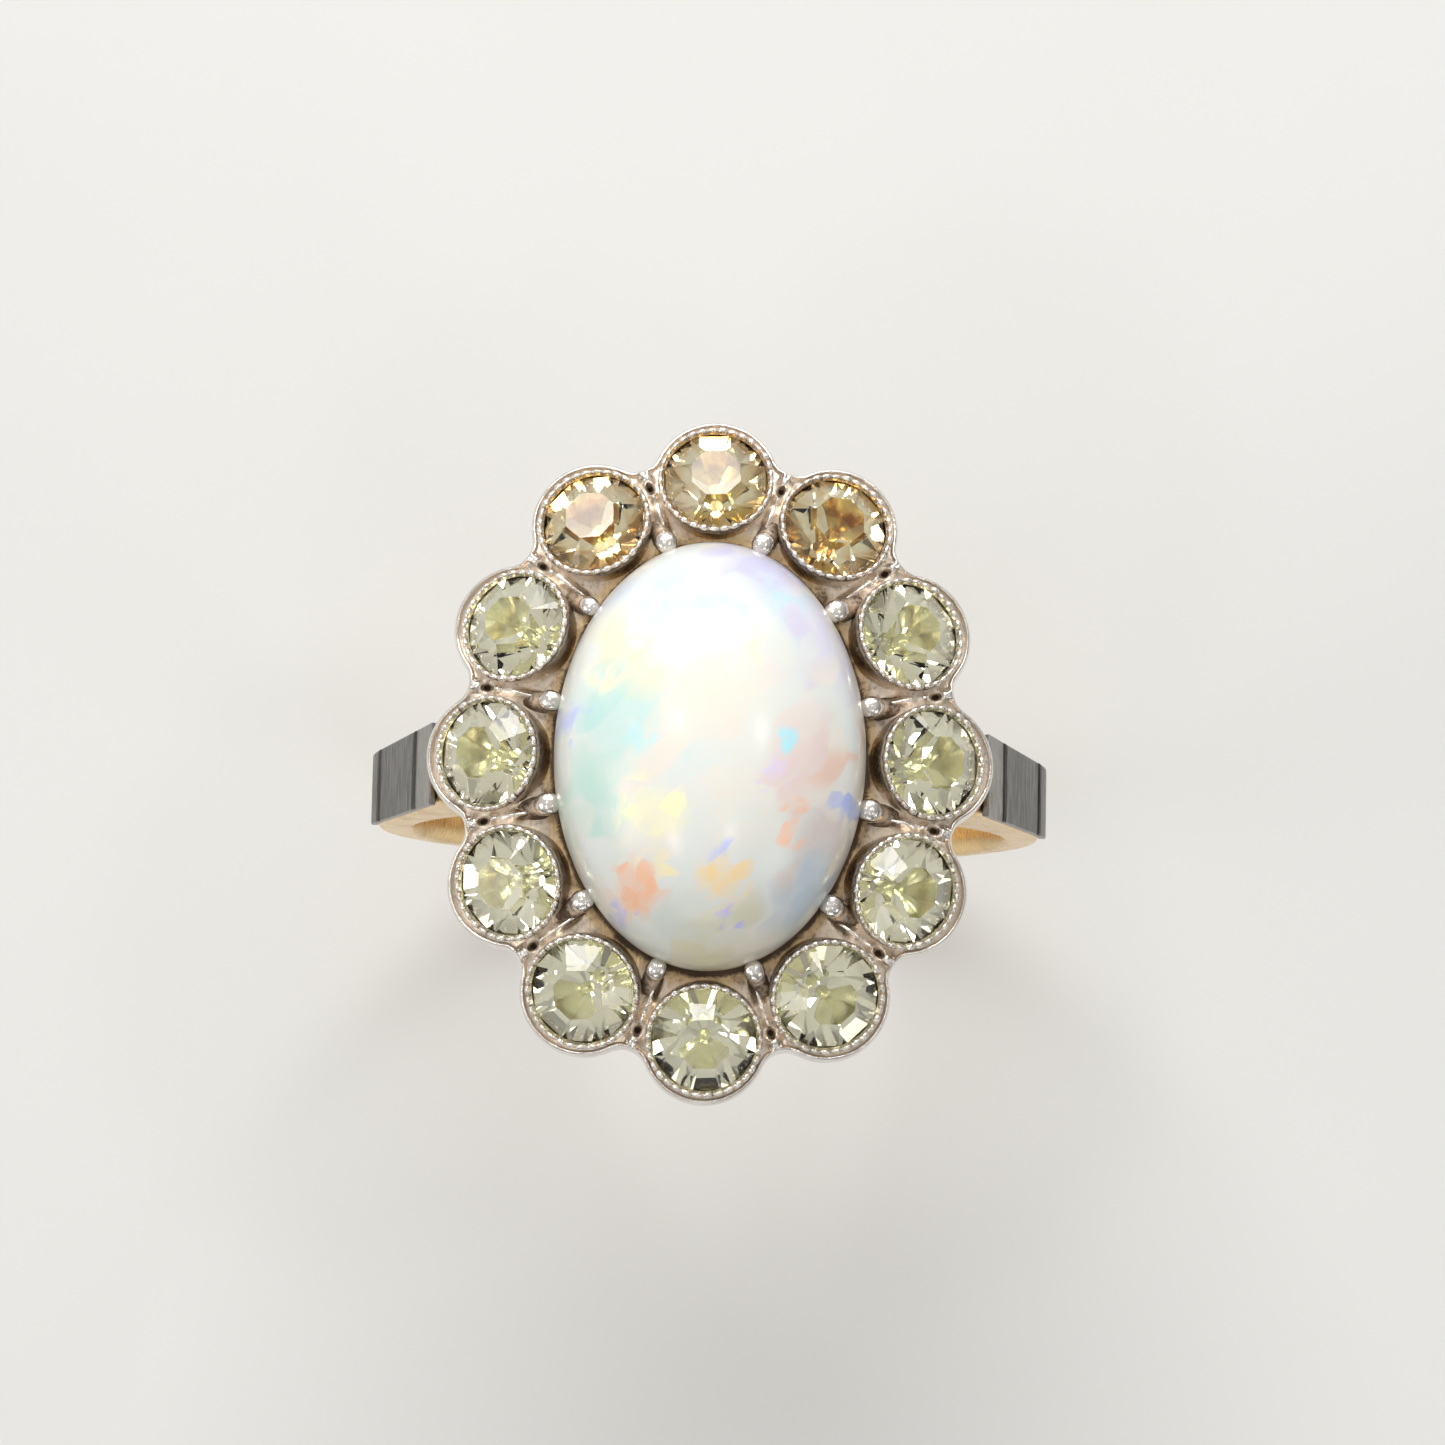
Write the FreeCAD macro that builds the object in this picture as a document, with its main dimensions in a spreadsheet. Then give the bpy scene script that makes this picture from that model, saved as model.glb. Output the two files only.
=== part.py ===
"""Cocktail ring: an oval opal in a halo of twelve foil-backed paste stones.

Millimetres.  The origin is the centre of the finger hole, +Y runs along the finger
and along the opal's length, +Z points up through the middle of the opal.
Each setting (collet, foil, stone) is drawn upright with its back at z = 0 and is then
leaned outwards to its place on the oval.
"""
import FreeCAD, Part
import math
import os
import Sketcher

Vector = FreeCAD.Vector
UP = Vector(0, 0, 1)
ORIGIN = Vector(0, 0, 0)

# alias, value in mm (angles in degrees), what it is
DRIVING = [
    ("finger_radius", 9.05, "radius of the finger hole"),
    ("hoop_thickness", 1.10, "wall of the gold hoop"),
    ("facing_thickness", 0.23, "silver sheet on the shoulders"),
    ("band_width_top", 2.40, "width of the hoop under the head"),
    ("band_width_bottom", 1.86, "width of the hoop opposite the head"),
    ("shoulder_angle", 73.0, "where the straight shoulders leave the hoop, from the top"),
    ("facing_end_angle", 80.0, "where the silver facing stops, from the top"),
    ("groove_width", 0.30, "width of the cross grooves on the shoulders"),
    ("groove_depth", 0.12, "depth of the cross grooves"),
    ("groove_height", 7.45, "height of the upper cross groove"),
    ("opal_half_width", 4.40, "half the short way across the opal"),
    ("opal_half_length", 6.05, "half the long way across the opal"),
    ("opal_dome", 3.60, "height of the opal above its widest line"),
    ("opal_skirt", 0.15, "height of the bevelled foot below that line"),
    ("opal_bevel", 0.22, "how far the foot is drawn in"),
    ("stone_count", 12, "paste stones round the opal"),
    ("stone_spacing", 0.095, "free arc between neighbouring lobes"),
    ("lobe_rim", 0.30, "silver outside each stone, out to the scalloped edge"),
    ("collet_margin", 0.03, "collet top stays this far inside the lobe"),
    ("collet_taper", 0.39, "how much narrower the collet is at its back"),
    ("collet_floor", 0.40, "thickness of the closed back of a collet"),
    ("lip_height", 0.30, "collet rim above the widest line of the stone"),
    ("lip_overlap", 0.07, "how far the rim leans over the stone"),
    ("girdle_half", 0.04, "half the thickness of the stone's edge"),
    ("crown_height", 0.50, "stone above its edge"),
    ("table_radius", 0.84, "across-flats radius of the flat top of the stone"),
    ("pavilion_angle", 41.0, "slope of the stone's underside"),
    ("foil_thickness", 0.07, "foil cup behind a stone"),
    ("foil_gap", 0.05, "gap on each side of the foil"),
    ("tilt_side", 28.0, "outward lean of the stones beside the shoulders"),
    ("tilt_end", 17.0, "outward lean of the stones at the finger ends"),
    ("fillet_radius", 0.70, "hollow between neighbouring lobes"),
    ("back_clearance", 0.35, "gold back above the finger hole"),
    ("back_cover", 0.40, "gold back above the top of the hoop"),
    ("back_floor", 0.37, "gold left under the deepest collet"),
    ("back_inset", 0.12, "gold back inside the silver edge"),
    ("frame_step", 0.20, "flat bed of the frame above the stone line"),
    ("well_margin", 1.10, "bed left under the opal's edge"),
    ("seat_height", 0.15, "flat oval wire the opal sits on"),
    ("seat_inset", 0.10, "seat wire inside the opal's edge"),
    ("seat_width", 0.80, "width of the seat wire"),
    ("claw_radius", 0.24, "post of a bead claw"),
    ("bead_radius", 0.36, "round head of a bead claw"),
    ("bead_height", 0.62, "bead centre above the bed"),
    ("bead_lean", 0.10, "bead centre leans over the opal by this"),
    ("claw_gap", 0.05, "post stands off the opal by this"),
    ("fit_gap", 0.02, "clearance between soldered or pressed parts"),
]

# alias, formula of the sheet, what it is
DERIVED = [
    ("opal_perimeter",
     "=pi*(3*(opal_half_width+opal_half_length)"
     "-sqrt((3*opal_half_width+opal_half_length)*(opal_half_width+3*opal_half_length)))",
     "length round the opal"),
    ("lobe_radius",
     "=(opal_perimeter-stone_count*stone_spacing)/(2*(stone_count-pi))",
     "lobe that lets the stones just fill the oval"),
    ("stone_radius", "=lobe_radius-lobe_rim", "radius of a paste stone"),
    ("ring_half_width", "=opal_half_width+lobe_radius", "oval of stone centres, short way"),
    ("ring_half_length", "=opal_half_length+lobe_radius", "oval of stone centres, long way"),
    ("hoop_radius", "=finger_radius+hoop_thickness", "outside of the gold hoop"),
    ("collet_radius", "=lobe_radius-collet_margin", "outside of a collet at its rim"),
    ("collet_back", "=collet_radius-collet_taper", "outside of a collet at its back"),
    ("pavilion_depth", "=stone_radius*tan(pavilion_angle*1deg)", "stone below its edge"),
    ("girdle_height",
     "=collet_floor+foil_thickness+2*foil_gap+pavilion_depth+girdle_half",
     "widest line of the stone above the collet's back"),
    ("collet_height", "=girdle_height+lip_height", "whole collet"),
    ("back_bottom", "=finger_radius+back_clearance", "underside of the gold back"),
    ("back_top", "=hoop_radius+back_cover", "top of the gold back"),
    ("stone_level",
     "=back_bottom+back_floor+girdle_height*cos(tilt_side*1deg)"
     "+collet_back*sin(tilt_side*1deg)",
     "height of the stone centres"),
    ("frame_bottom", "=back_top+fit_gap", "underside of the silver frame"),
    ("frame_top", "=stone_level+frame_step", "bed the opal's seat lies on"),
    ("opal_base", "=frame_top+seat_height+2*fit_gap", "underside of the opal"),
    ("opal_level", "=opal_base+opal_skirt", "widest line of the opal"),
]

FACETS = 8          # main facets above and below the edge of each stone
REACH = 40.0        # longer than the ring, for cuts that run right through

doc = FreeCAD.newDocument("cocktail_ring")
sheet = doc.addObject("Spreadsheet::Sheet", "dimensions")


def fill_sheet():
    for row, (alias, value, note) in enumerate(DRIVING + DERIVED, start=1):
        sheet.set("A%d" % row, note)
        sheet.set("B%d" % row, str(value))
        sheet.setAlias("B%d" % row, alias)
    doc.recompute()


def size(alias):
    return float(getattr(sheet, alias))


def looked_up(formula):
    """A formula with every <alias> pointed at the sheet."""
    return formula.replace("<", "dimensions.").replace(">", "")


def bind(target, prop, formula):
    target.setExpression(prop, looked_up(formula))


# ---------------------------------------------------------------- drawing helpers

def new_body(label):
    body = doc.addObject("PartDesign::Body", label)
    body.Label = label
    return body


def sketch_on(body, role, name):
    plane = [item for item in body.Origin.OriginFeatures if item.Role == role][0]
    sketch = body.newObject("Sketcher::SketchObject", name)
    sketch.AttachmentSupport = [(plane, "")]
    sketch.MapMode = "FlatFace"
    return sketch


def origin_axis(body, role):
    return [item for item in body.Origin.OriginFeatures if item.Role == role][0]


def polygon(sketch, corners):
    """Closed polygon; every corner is a pair of formulas tied to the sheet."""
    spots = []
    for across, along in corners:
        words = [looked_up(across), looked_up(along)]
        spots.append([(float(sketch.evalExpression(word)), word) for word in words])
    points = [Vector(pair[0][0], pair[1][0], 0) for pair in spots]
    count = len(points)
    for index in range(count):
        sketch.addGeometry(Part.LineSegment(points[index], points[(index + 1) % count]), False)
    for index in range(count):
        sketch.addConstraint(
            Sketcher.Constraint("Coincident", index, 2, (index + 1) % count, 1))
    for index, pair in enumerate(spots):
        for kind, axis, (value, words) in zip(("DistanceX", "DistanceY"), (-2, -1), pair):
            if abs(value) < 1e-9:
                sketch.addConstraint(Sketcher.Constraint("PointOnObject", index, 1, axis))
                continue
            spot = sketch.addConstraint(
                Sketcher.Constraint(kind, -1, 1, index, 1, value))
            sketch.setExpression("Constraints[%d]" % spot, words)


def revolve(body, sketch, name):
    turn = body.newObject("PartDesign::Revolution", name)
    turn.Profile = sketch
    turn.ReferenceAxis = (sketch, ["V_Axis"])
    turn.Angle = 360.0
    return turn


def pad_both_ways(body, sketch, name, length):
    pad = body.newObject("PartDesign::Pad", name)
    pad.Profile = sketch
    pad.SideType = "Symmetric"
    bind(pad, "Length", length)
    return pad


def pocket_both_ways(body, sketch, name):
    pocket = body.newObject("PartDesign::Pocket", name)
    pocket.Profile = sketch
    pocket.SideType = "Symmetric"
    pocket.Length = REACH
    return pocket


def polar(body, feature, name, count):
    pattern = body.newObject("PartDesign::PolarPattern", name)
    pattern.Originals = [feature]
    pattern.Axis = (origin_axis(body, "Z_Axis"), [""])
    pattern.Angle = 360.0
    body.Tip = pattern
    pattern.Occurrences = count
    return pattern


# ---------------------------------------------------------------- places on the oval

def oval_point(half_width, half_length, turn):
    return Vector(half_width * math.cos(turn), half_length * math.sin(turn), 0)


def oval_turns(half_width, half_length, count, phase):
    """Parameter angles that cut the oval into equal arcs, the first at the given phase."""
    steps = 7200
    lengths = [0.0]
    last = oval_point(half_width, half_length, 0)
    for step in range(1, steps + 1):
        spot = oval_point(half_width, half_length, 2 * math.pi * step / steps)
        lengths.append(lengths[-1] + (spot - last).Length)
        last = spot
    turns = []
    for index in range(count):
        wanted = (index + phase) / count * lengths[-1]
        low = max(step for step in range(steps + 1) if lengths[step] <= wanted + 1e-12)
        high = min(low + 1, steps)
        span = lengths[high] - lengths[low]
        part = (wanted - lengths[low]) / span if span > 0 else 0.0
        turns.append(2 * math.pi * (low + part) / steps)
    return turns


def stone_turns(phase=0.0):
    return oval_turns(size("ring_half_width"), size("ring_half_length"),
                      int(size("stone_count")), phase)


def stone_spots():
    """Stone centres in plan."""
    return [oval_point(size("ring_half_width"), size("ring_half_length"), turn)
            for turn in stone_turns()]


def setting_places():
    """Placement of every upright setting: spin, lean outwards, lift to the oval."""
    places = []
    for turn, spot in zip(stone_turns(), stone_spots()):
        outward = Vector(math.cos(turn) / size("ring_half_width"),
                         math.sin(turn) / size("ring_half_length"), 0)
        heading = math.degrees(math.atan2(outward.y, outward.x))
        lean = (size("tilt_side") * math.cos(turn) ** 2
                + size("tilt_end") * math.sin(turn) ** 2)
        turning = FreeCAD.Rotation(UP, heading).multiply(
            FreeCAD.Rotation(Vector(0, 1, 0), lean))
        axis = turning.multVec(UP)
        centre = Vector(spot.x, spot.y, size("stone_level"))
        places.append(FreeCAD.Placement(centre - axis * size("girdle_height"), turning))
    return places


def scalloped_outline(sketch, inset):
    """Lobes round the stones, joined by hollow fillets that touch both neighbours."""
    lobe = size("lobe_radius") - inset
    hollow = size("fillet_radius") + inset
    spots = stone_spots()
    count = len(spots)
    dips = []
    for index in range(count):
        here = spots[index]
        there = spots[(index + 1) % count]
        middle = (here + there) * 0.5
        half = (there - here).Length / 2
        side = Vector(there.y - here.y, here.x - there.x, 0).normalize()
        dips.append(middle + side * math.sqrt((lobe + hollow) ** 2 - half ** 2))
    for index in range(count):
        here = spots[index]
        before = here + (dips[index - 1] - here).normalize() * lobe
        after = here + (dips[index] - here).normalize() * lobe
        crest = here + (before + after - here * 2).normalize() * lobe
        sketch.addGeometry(Part.Arc(before, crest, after), False)
        there = spots[(index + 1) % count]
        landing = there + (dips[index] - there).normalize() * lobe
        pit = dips[index] + ((here + there) * 0.5 - dips[index]).normalize() * hollow
        sketch.addGeometry(Part.Arc(after, pit, landing), False)


# ---------------------------------------------------------------- hoop and shoulders

def shoulder_line(radius, side):
    """Where the straight shoulder leaves a circle, and where it meets the gold back."""
    angle = math.radians(size("shoulder_angle"))
    foot = Vector(radius * math.sin(angle), radius * math.cos(angle), 0)
    rise = (size("back_bottom") - size("fit_gap") - foot.y) / math.sin(angle)
    head = foot + Vector(-math.cos(angle), math.sin(angle), 0) * rise
    return Vector(side * foot.x, foot.y, 0), Vector(side * head.x, head.y, 0)


def polar_spot(radius, angle, side):
    return Vector(side * radius * math.sin(angle), radius * math.cos(angle), 0)


def arc_between(sketch, radius, start, end, side):
    sketch.addGeometry(Part.Arc(polar_spot(radius, start, side),
                                polar_spot(radius, (start + end) / 2, side),
                                polar_spot(radius, end, side)), False)


def taper_width(body, inset, name):
    """Narrow the band from the head down to the bottom of the hoop."""
    low = -size("hoop_radius") - 1
    high = size("frame_top")
    slope = (size("band_width_top") - size("band_width_bottom")) / 2 / (
        size("back_bottom") + size("hoop_radius"))
    half = size("band_width_bottom") / 2 - inset
    sketch = sketch_on(body, "YZ_Plane", name + "_sides")
    for side in (1, -1):
        corners = [Vector(side * (half + slope * (low + size("hoop_radius"))), low, 0),
                   Vector(side * (half + slope * (high + size("hoop_radius"))), high, 0),
                   Vector(side * size("finger_radius"), high, 0),
                   Vector(side * size("finger_radius"), low, 0)]
        for index in range(4):
            sketch.addGeometry(Part.LineSegment(corners[index], corners[(index + 1) % 4]),
                               False)
    pocket_both_ways(body, sketch, name + "_taper")


def make_shank():
    body = new_body("shank")
    ring = sketch_on(body, "XZ_Plane", "hoop_rings")
    for index, alias in enumerate(("finger_radius", "hoop_radius")):
        ring.addGeometry(Part.Circle(ORIGIN, UP, size(alias)), False)
        ring.addConstraint(Sketcher.Constraint("Coincident", index, 3, -1, 1))
        spot = ring.addConstraint(Sketcher.Constraint("Radius", index, size(alias)))
        ring.setExpression("Constraints[%d]" % spot, "dimensions." + alias)
    pad_both_ways(body, ring, "hoop", "<band_width_top> * 1.5")
    sketch = sketch_on(body, "XZ_Plane", "shoulder_sides")
    middle = (size("finger_radius") + size("hoop_radius")) / 2
    for side in (1, -1):
        foot, head = shoulder_line(size("hoop_radius"), side)
        start = math.acos(head.y / middle) if head.y < middle else 0.0
        inner = polar_spot(middle, start, side)
        end = math.radians(size("shoulder_angle"))
        arc_between(sketch, middle, start, end, side)
        corners = [polar_spot(middle, end, side), foot, head, inner]
        for index in range(3):
            sketch.addGeometry(Part.LineSegment(corners[index], corners[index + 1]), False)
    pad_both_ways(body, sketch, "shoulders", "<band_width_top> * 1.5")
    taper_width(body, 0.0, "shank")
    return body


def make_facing(label, side):
    """Silver sheet over one shoulder, with two cross grooves."""
    body = new_body(label)
    inner = size("hoop_radius") + size("fit_gap")
    outer = inner + size("facing_thickness")
    low_foot, low_head = shoulder_line(inner, side)
    high_foot, high_head = shoulder_line(outer, side)
    start = math.radians(size("shoulder_angle"))
    end = math.radians(size("facing_end_angle"))
    sketch = sketch_on(body, "XZ_Plane", label + "_edge")
    for first, last in ((low_foot, low_head), (low_head, high_head), (high_head, high_foot)):
        sketch.addGeometry(Part.LineSegment(first, last), False)
    arc_between(sketch, outer, start, end, side)
    sketch.addGeometry(Part.LineSegment(polar_spot(outer, end, side),
                                        polar_spot(inner, end, side)), False)
    arc_between(sketch, inner, end, start, side)
    pad_both_ways(body, sketch, label + "_sheet", "<band_width_top> * 1.5")
    taper_width(body, size("fit_gap"), label)
    along = (high_head - high_foot).normalize()
    out = Vector(side * math.sin(start), math.cos(start), 0)
    reach = (size("groove_height") - high_foot.y) / along.y
    cuts = sketch_on(body, "XZ_Plane", label + "_groove_lines")
    for place in (high_foot + along * reach, high_foot):
        wide = along * size("groove_width") / 2
        corners = [place + wide, place - wide, place - out * size("groove_depth")]
        lifted = [corners[0] + out * size("groove_depth"),
                  corners[1] + out * size("groove_depth")]
        loop = [lifted[0], corners[0], corners[2], corners[1], lifted[1]]
        for index in range(5):
            cuts.addGeometry(Part.LineSegment(loop[index], loop[(index + 1) % 5]), False)
    pocket_both_ways(body, cuts, label + "_grooves")
    return body


# ---------------------------------------------------------------- settings

# the ridges between the facets stand out by this much from the middle of a facet
RIDGE = "1 / cos(180 deg / %d)" % FACETS
CROWN_SLOPE = "<crown_height> / (<stone_radius> - <table_radius>)"


def make_stone(label):
    """Round paste stone with flat facets above and below its edge."""
    body = new_body(label)
    outline = sketch_on(body, "XZ_Plane", label + "_outline")
    low = "<girdle_height> - <girdle_half> - <pavilion_depth> + <foil_gap>"
    high = "<girdle_height> + <girdle_half> + <crown_height>"
    polygon(outline, [("0", low), ("<stone_radius>", low), ("<stone_radius>", high),
                      ("0", high)])
    revolve(body, outline, label + "_blank")
    crown = sketch_on(body, "XZ_Plane", label + "_crown_line")
    polygon(crown, [("<table_radius>", high),
                    ("<stone_radius> + <girdle_half>", high),
                    ("<stone_radius> + <girdle_half>",
                     "<girdle_height> + <girdle_half> - <girdle_half> * " + CROWN_SLOPE)])
    pocket = pocket_both_ways(body, crown, label + "_crown_facet")
    polar(body, pocket, label + "_crown", FACETS)
    base = sketch_on(body, "XZ_Plane", label + "_pavilion_line")
    edge = "<stone_radius> + <girdle_half>"
    fall = "tan(<pavilion_angle> * 1 deg)"
    polygon(base, [("<foil_gap>", low + " - <foil_gap> + <foil_gap> * " + fall),
                   (edge, "<girdle_height> - <girdle_half> + <girdle_half> * " + fall),
                   (edge, low + " - <foil_gap>"),
                   ("<foil_gap>", low + " - <foil_gap>")])
    pocket = pocket_both_ways(body, base, label + "_pavilion_facet")
    polar(body, pocket, label + "_pavilion", FACETS)
    return body


def cup_drop(shift):
    """Depth below the stone's ridges, at the axis and at the stone's edge."""
    middle = "<girdle_height> - <girdle_half> - <pavilion_depth> - (%s)" % shift
    edge = ("<girdle_height> - <girdle_half> - (%s) - (1 - 1 / (%s))"
            " * <stone_radius> * tan(<pavilion_angle> * 1 deg)" % (shift, RIDGE))
    return middle, edge


def make_foil(label):
    """Thin conical cup of foil that hugs the underside of the stone."""
    body = new_body(label)
    sketch = sketch_on(body, "XZ_Plane", label + "_section")
    top_middle, top_edge = cup_drop("<foil_gap>")
    low_middle, low_edge = cup_drop("<foil_gap> + <foil_thickness>")
    polygon(sketch, [("0", low_middle), ("<stone_radius>", low_edge),
                     ("<stone_radius>", top_edge), ("0", top_middle)])
    revolve(body, sketch, label + "_cup")
    return body


def make_collet(label):
    """Tapered silver cup with a closed back and a rim leaning over the stone."""
    body = new_body(label)
    sketch = sketch_on(body, "XZ_Plane", label + "_section")
    floor_middle, floor_edge = cup_drop("2 * <foil_gap> + <foil_thickness>")
    hole = "<stone_radius> + <fit_gap>"
    lip = "<stone_radius> - <lip_overlap>"
    catch = ("<girdle_height> + <girdle_half> + <fit_gap>"
             " + (1 - 1 / (%s)) * <stone_radius> * %s" % (RIDGE, CROWN_SLOPE))
    polygon(sketch, [
        ("0", "0"),
        ("<collet_back>", "0"),
        ("<collet_radius>", "<collet_height>"),
        (lip, "<collet_height>"),
        (lip, catch + " + <lip_overlap>"),
        (hole, catch),
        (hole, floor_edge),
        ("0", floor_middle),
    ])
    revolve(body, sketch, label + "_cup")
    return body


def make_seats():
    """Twelve tapered plugs, a little larger than the collets, for cutting their seats."""
    plugs = []
    for index, place in enumerate(setting_places(), start=1):
        plug = doc.addObject("Part::Cone", "seat_plug_%02d" % index)
        bind(plug, "Radius1", "<collet_back> + <fit_gap>")
        bind(plug, "Radius2", "<collet_radius> + <fit_gap> + <collet_taper> / 2")
        bind(plug, "Height", "<collet_height> * 1.5")
        lift = place.Rotation.multVec(UP) * size("fit_gap")
        plug.Placement = FreeCAD.Placement(place.Base - lift, place.Rotation)
        plugs.append(plug)
    seats = doc.addObject("Part::MultiFuse", "seat_plugs")
    seats.Shapes = plugs
    return seats


# ---------------------------------------------------------------- head

def oval_ring(name, half_width, half_length, level):
    """Oval wire, its long way along Y."""
    oval = doc.addObject("Part::Ellipse", name)
    bind(oval, "MajorRadius", half_length)
    bind(oval, "MinorRadius", half_width)
    bind(oval, "Placement.Base.z", level)
    oval.Placement = FreeCAD.Placement(ORIGIN, FreeCAD.Rotation(UP, 90))
    return oval


def oval_loft(name, low, high):
    """Solid between two ovals, each given as half width, half length and level."""
    loft = doc.addObject("Part::Loft", name)
    loft.Sections = [oval_ring(name + "_low", *low), oval_ring(name + "_high", *high)]
    loft.Solid = True
    loft.Ruled = True
    return loft


def scalloped_slab(label, inset, bottom, top):
    body = new_body(label)
    sketch = sketch_on(body, "XY_Plane", label + "_outline")
    scalloped_outline(sketch, inset)
    bind(sketch, "AttachmentOffset.Base.z", bottom)
    pad = body.newObject("PartDesign::Pad", label + "_slab")
    pad.Profile = sketch
    bind(pad, "Length", "%s - (%s)" % (top, bottom))
    return body


def cut(label, base, tool):
    piece = doc.addObject("Part::Cut", label)
    piece.Base = base
    piece.Tool = tool
    piece.Label = label
    return piece


def make_back(seats, shank):
    """Closed gold back that bridges the hoop and carries the collets."""
    slab = scalloped_slab("back_slab", size("back_inset"), "<back_bottom>", "<back_top>")
    seated = cut("back_with_seats", slab, seats)
    bridge = doc.addObject("Part::Cylinder", "hoop_channel_round")
    bind(bridge, "Radius", "<hoop_radius> + <fit_gap>")
    bind(bridge, "Height", "<band_width_top> + 2 * <fit_gap>")
    bridge.Placement = FreeCAD.Placement(
        Vector(0, size("band_width_top") / 2 + size("fit_gap"), 0),
        FreeCAD.Rotation(Vector(1, 0, 0), 90))
    return cut("gold_back", seated, bridge)


def make_frame(seats):
    """Silver frame: scalloped wall, sloping top, twelve seats and a well for the opal."""
    slab = scalloped_slab("frame_slab", 0.0, "<frame_bottom>", "<frame_top>")
    drop = "(<stone_level> - <frame_bottom>)"
    slope_side = "tan(<tilt_side> * 1 deg)"
    slope_end = "tan(<tilt_end> * 1 deg)"
    dome = oval_loft(
        "frame_dome",
        ("<ring_half_width> + %s / %s" % (drop, slope_side),
         "<ring_half_length> + %s / %s" % (drop, slope_end), "<frame_bottom>"),
        ("<ring_half_width> - <frame_step> / " + slope_side,
         "<ring_half_length> - <frame_step> / " + slope_end, "<frame_top>"))
    domed = doc.addObject("Part::MultiCommon", "frame_domed")
    domed.Shapes = [slab, dome]
    well = oval_loft(
        "opal_well",
        ("<opal_half_width> - <well_margin>", "<opal_half_length> - <well_margin>",
         "<frame_bottom> - 1"),
        ("<opal_half_width> - <well_margin>", "<opal_half_length> - <well_margin>",
         "<frame_top> + 1"))
    return cut("scalloped_frame", cut("frame_with_well", domed, well), seats)


def make_opal_seat():
    low = "<frame_top> + <fit_gap>"
    high = low + " + <seat_height>"
    wide = "<opal_half_width> - <seat_inset> - <fit_gap>"
    long = "<opal_half_length> - <seat_inset> - <fit_gap>"
    outside = oval_loft("seat_outside", (wide, long, low), (wide, long, high))
    inside = oval_loft(
        "seat_inside",
        (wide + " - <seat_width>", long + " - <seat_width>", low + " - 1"),
        (wide + " - <seat_width>", long + " - <seat_width>", high + " + 1"))
    return cut("opal_seat", outside, inside)


def make_opal():
    """Oval cabochon: half an ellipsoid on a short bevelled foot."""
    dome = doc.addObject("Part::Ellipsoid", "opal_dome_half")
    bind(dome, "Radius1", "<opal_dome>")
    bind(dome, "Radius2", "<opal_half_width>")
    bind(dome, "Radius3", "<opal_half_length>")
    dome.Angle1 = 0
    dome.Angle2 = 90
    dome.Placement = FreeCAD.Placement(Vector(0, 0, size("opal_level")), FreeCAD.Rotation())
    foot = oval_loft(
        "opal_foot",
        ("<opal_half_width> - <opal_bevel>", "<opal_half_length> - <opal_bevel>",
         "<opal_base>"),
        ("<opal_half_width>", "<opal_half_length>", "<opal_level>"))
    opal = doc.addObject("Part::MultiFuse", "opal")
    opal.Shapes = [dome, foot]
    opal.Label = "opal"
    return opal


def make_claws(opal):
    """Twelve posts in the gaps between collets, each with a bead pressed on the opal."""
    claws = []
    base = size("frame_top") + size("fit_gap")
    for index, turn in enumerate(stone_turns(0.5), start=1):
        edge = oval_point(size("opal_half_width"), size("opal_half_length"), turn)
        out = Vector(math.cos(turn) / size("opal_half_width"),
                     math.sin(turn) / size("opal_half_length"), 0).normalize()
        foot = edge + out * (size("claw_gap") + size("claw_radius"))
        post = doc.addObject("Part::Cylinder", "claw_post_%02d" % index)
        bind(post, "Radius", "<claw_radius>")
        bind(post, "Height", "<bead_height>")
        post.Placement = FreeCAD.Placement(Vector(foot.x, foot.y, base), FreeCAD.Rotation())
        bead = doc.addObject("Part::Sphere", "claw_bead_%02d" % index)
        bind(bead, "Radius", "<bead_radius>")
        head = foot - out * size("bead_lean")
        bead.Placement = FreeCAD.Placement(
            Vector(head.x, head.y, base + size("bead_height")), FreeCAD.Rotation())
        claws += [post, bead]
    blank = doc.addObject("Part::MultiFuse", "claw_blanks")
    blank.Shapes = claws
    return cut("bead_claws", blank, opal)


# ---------------------------------------------------------------- the whole ring

def build():
    fill_sheet()
    nodes = [make_shank(), make_facing("shoulder_facing_left", -1),
             make_facing("shoulder_facing_right", 1)]
    seats = make_seats()
    opal = make_opal()
    nodes += [make_back(seats, nodes[0]), make_frame(seats), make_opal_seat(), opal,
              make_claws(opal)]
    for index, place in enumerate(setting_places(), start=1):
        for make, name in ((make_collet, "collet"), (make_foil, "foil"),
                           (make_stone, "stone")):
            piece = make("%s_%02d" % (name, index))
            piece.Placement = place
            nodes.append(piece)
    doc.recompute()
    return nodes


def check(nodes):
    """Stop if anything in the document failed or any piece is not a sound solid."""
    for item in doc.Objects:
        if "Invalid" in item.State or "Error" in item.State:
            raise RuntimeError("%s did not build: %s" % (item.Name, item.State))
    for node in nodes:
        shape = node.Shape
        if shape.isNull() or not shape.isValid() or shape.Volume <= 0:
            raise RuntimeError("%s is not a sound shape" % node.Label)


def write(nodes):
    os.makedirs("parts", exist_ok=True)
    for node in nodes:
        node.Shape.exportStep("parts/%s.step" % node.Label)
        box = node.Shape.BoundBox
        print("%-24s %d solid(s) %9.3f mm3  x %6.2f..%6.2f  y %6.2f..%6.2f  z %6.2f..%6.2f"
              % (node.Label, len(node.Shape.Solids), node.Shape.Volume, box.XMin, box.XMax,
                 box.YMin, box.YMax, box.ZMin, box.ZMax))


pieces = build()
check(pieces)
write(pieces)
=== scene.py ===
"""Cocktail ring: opal, paste halo, millgrained silver head and gold hoop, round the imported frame.

Everything is in metres in the frame's own axes: the finger runs along Y, the opal faces up.
"""
import math

import bmesh
import bpy
import numpy as np
from bpy.props import FloatProperty, FloatVectorProperty, IntProperty, PointerProperty
from mathutils import Matrix, Vector


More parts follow.
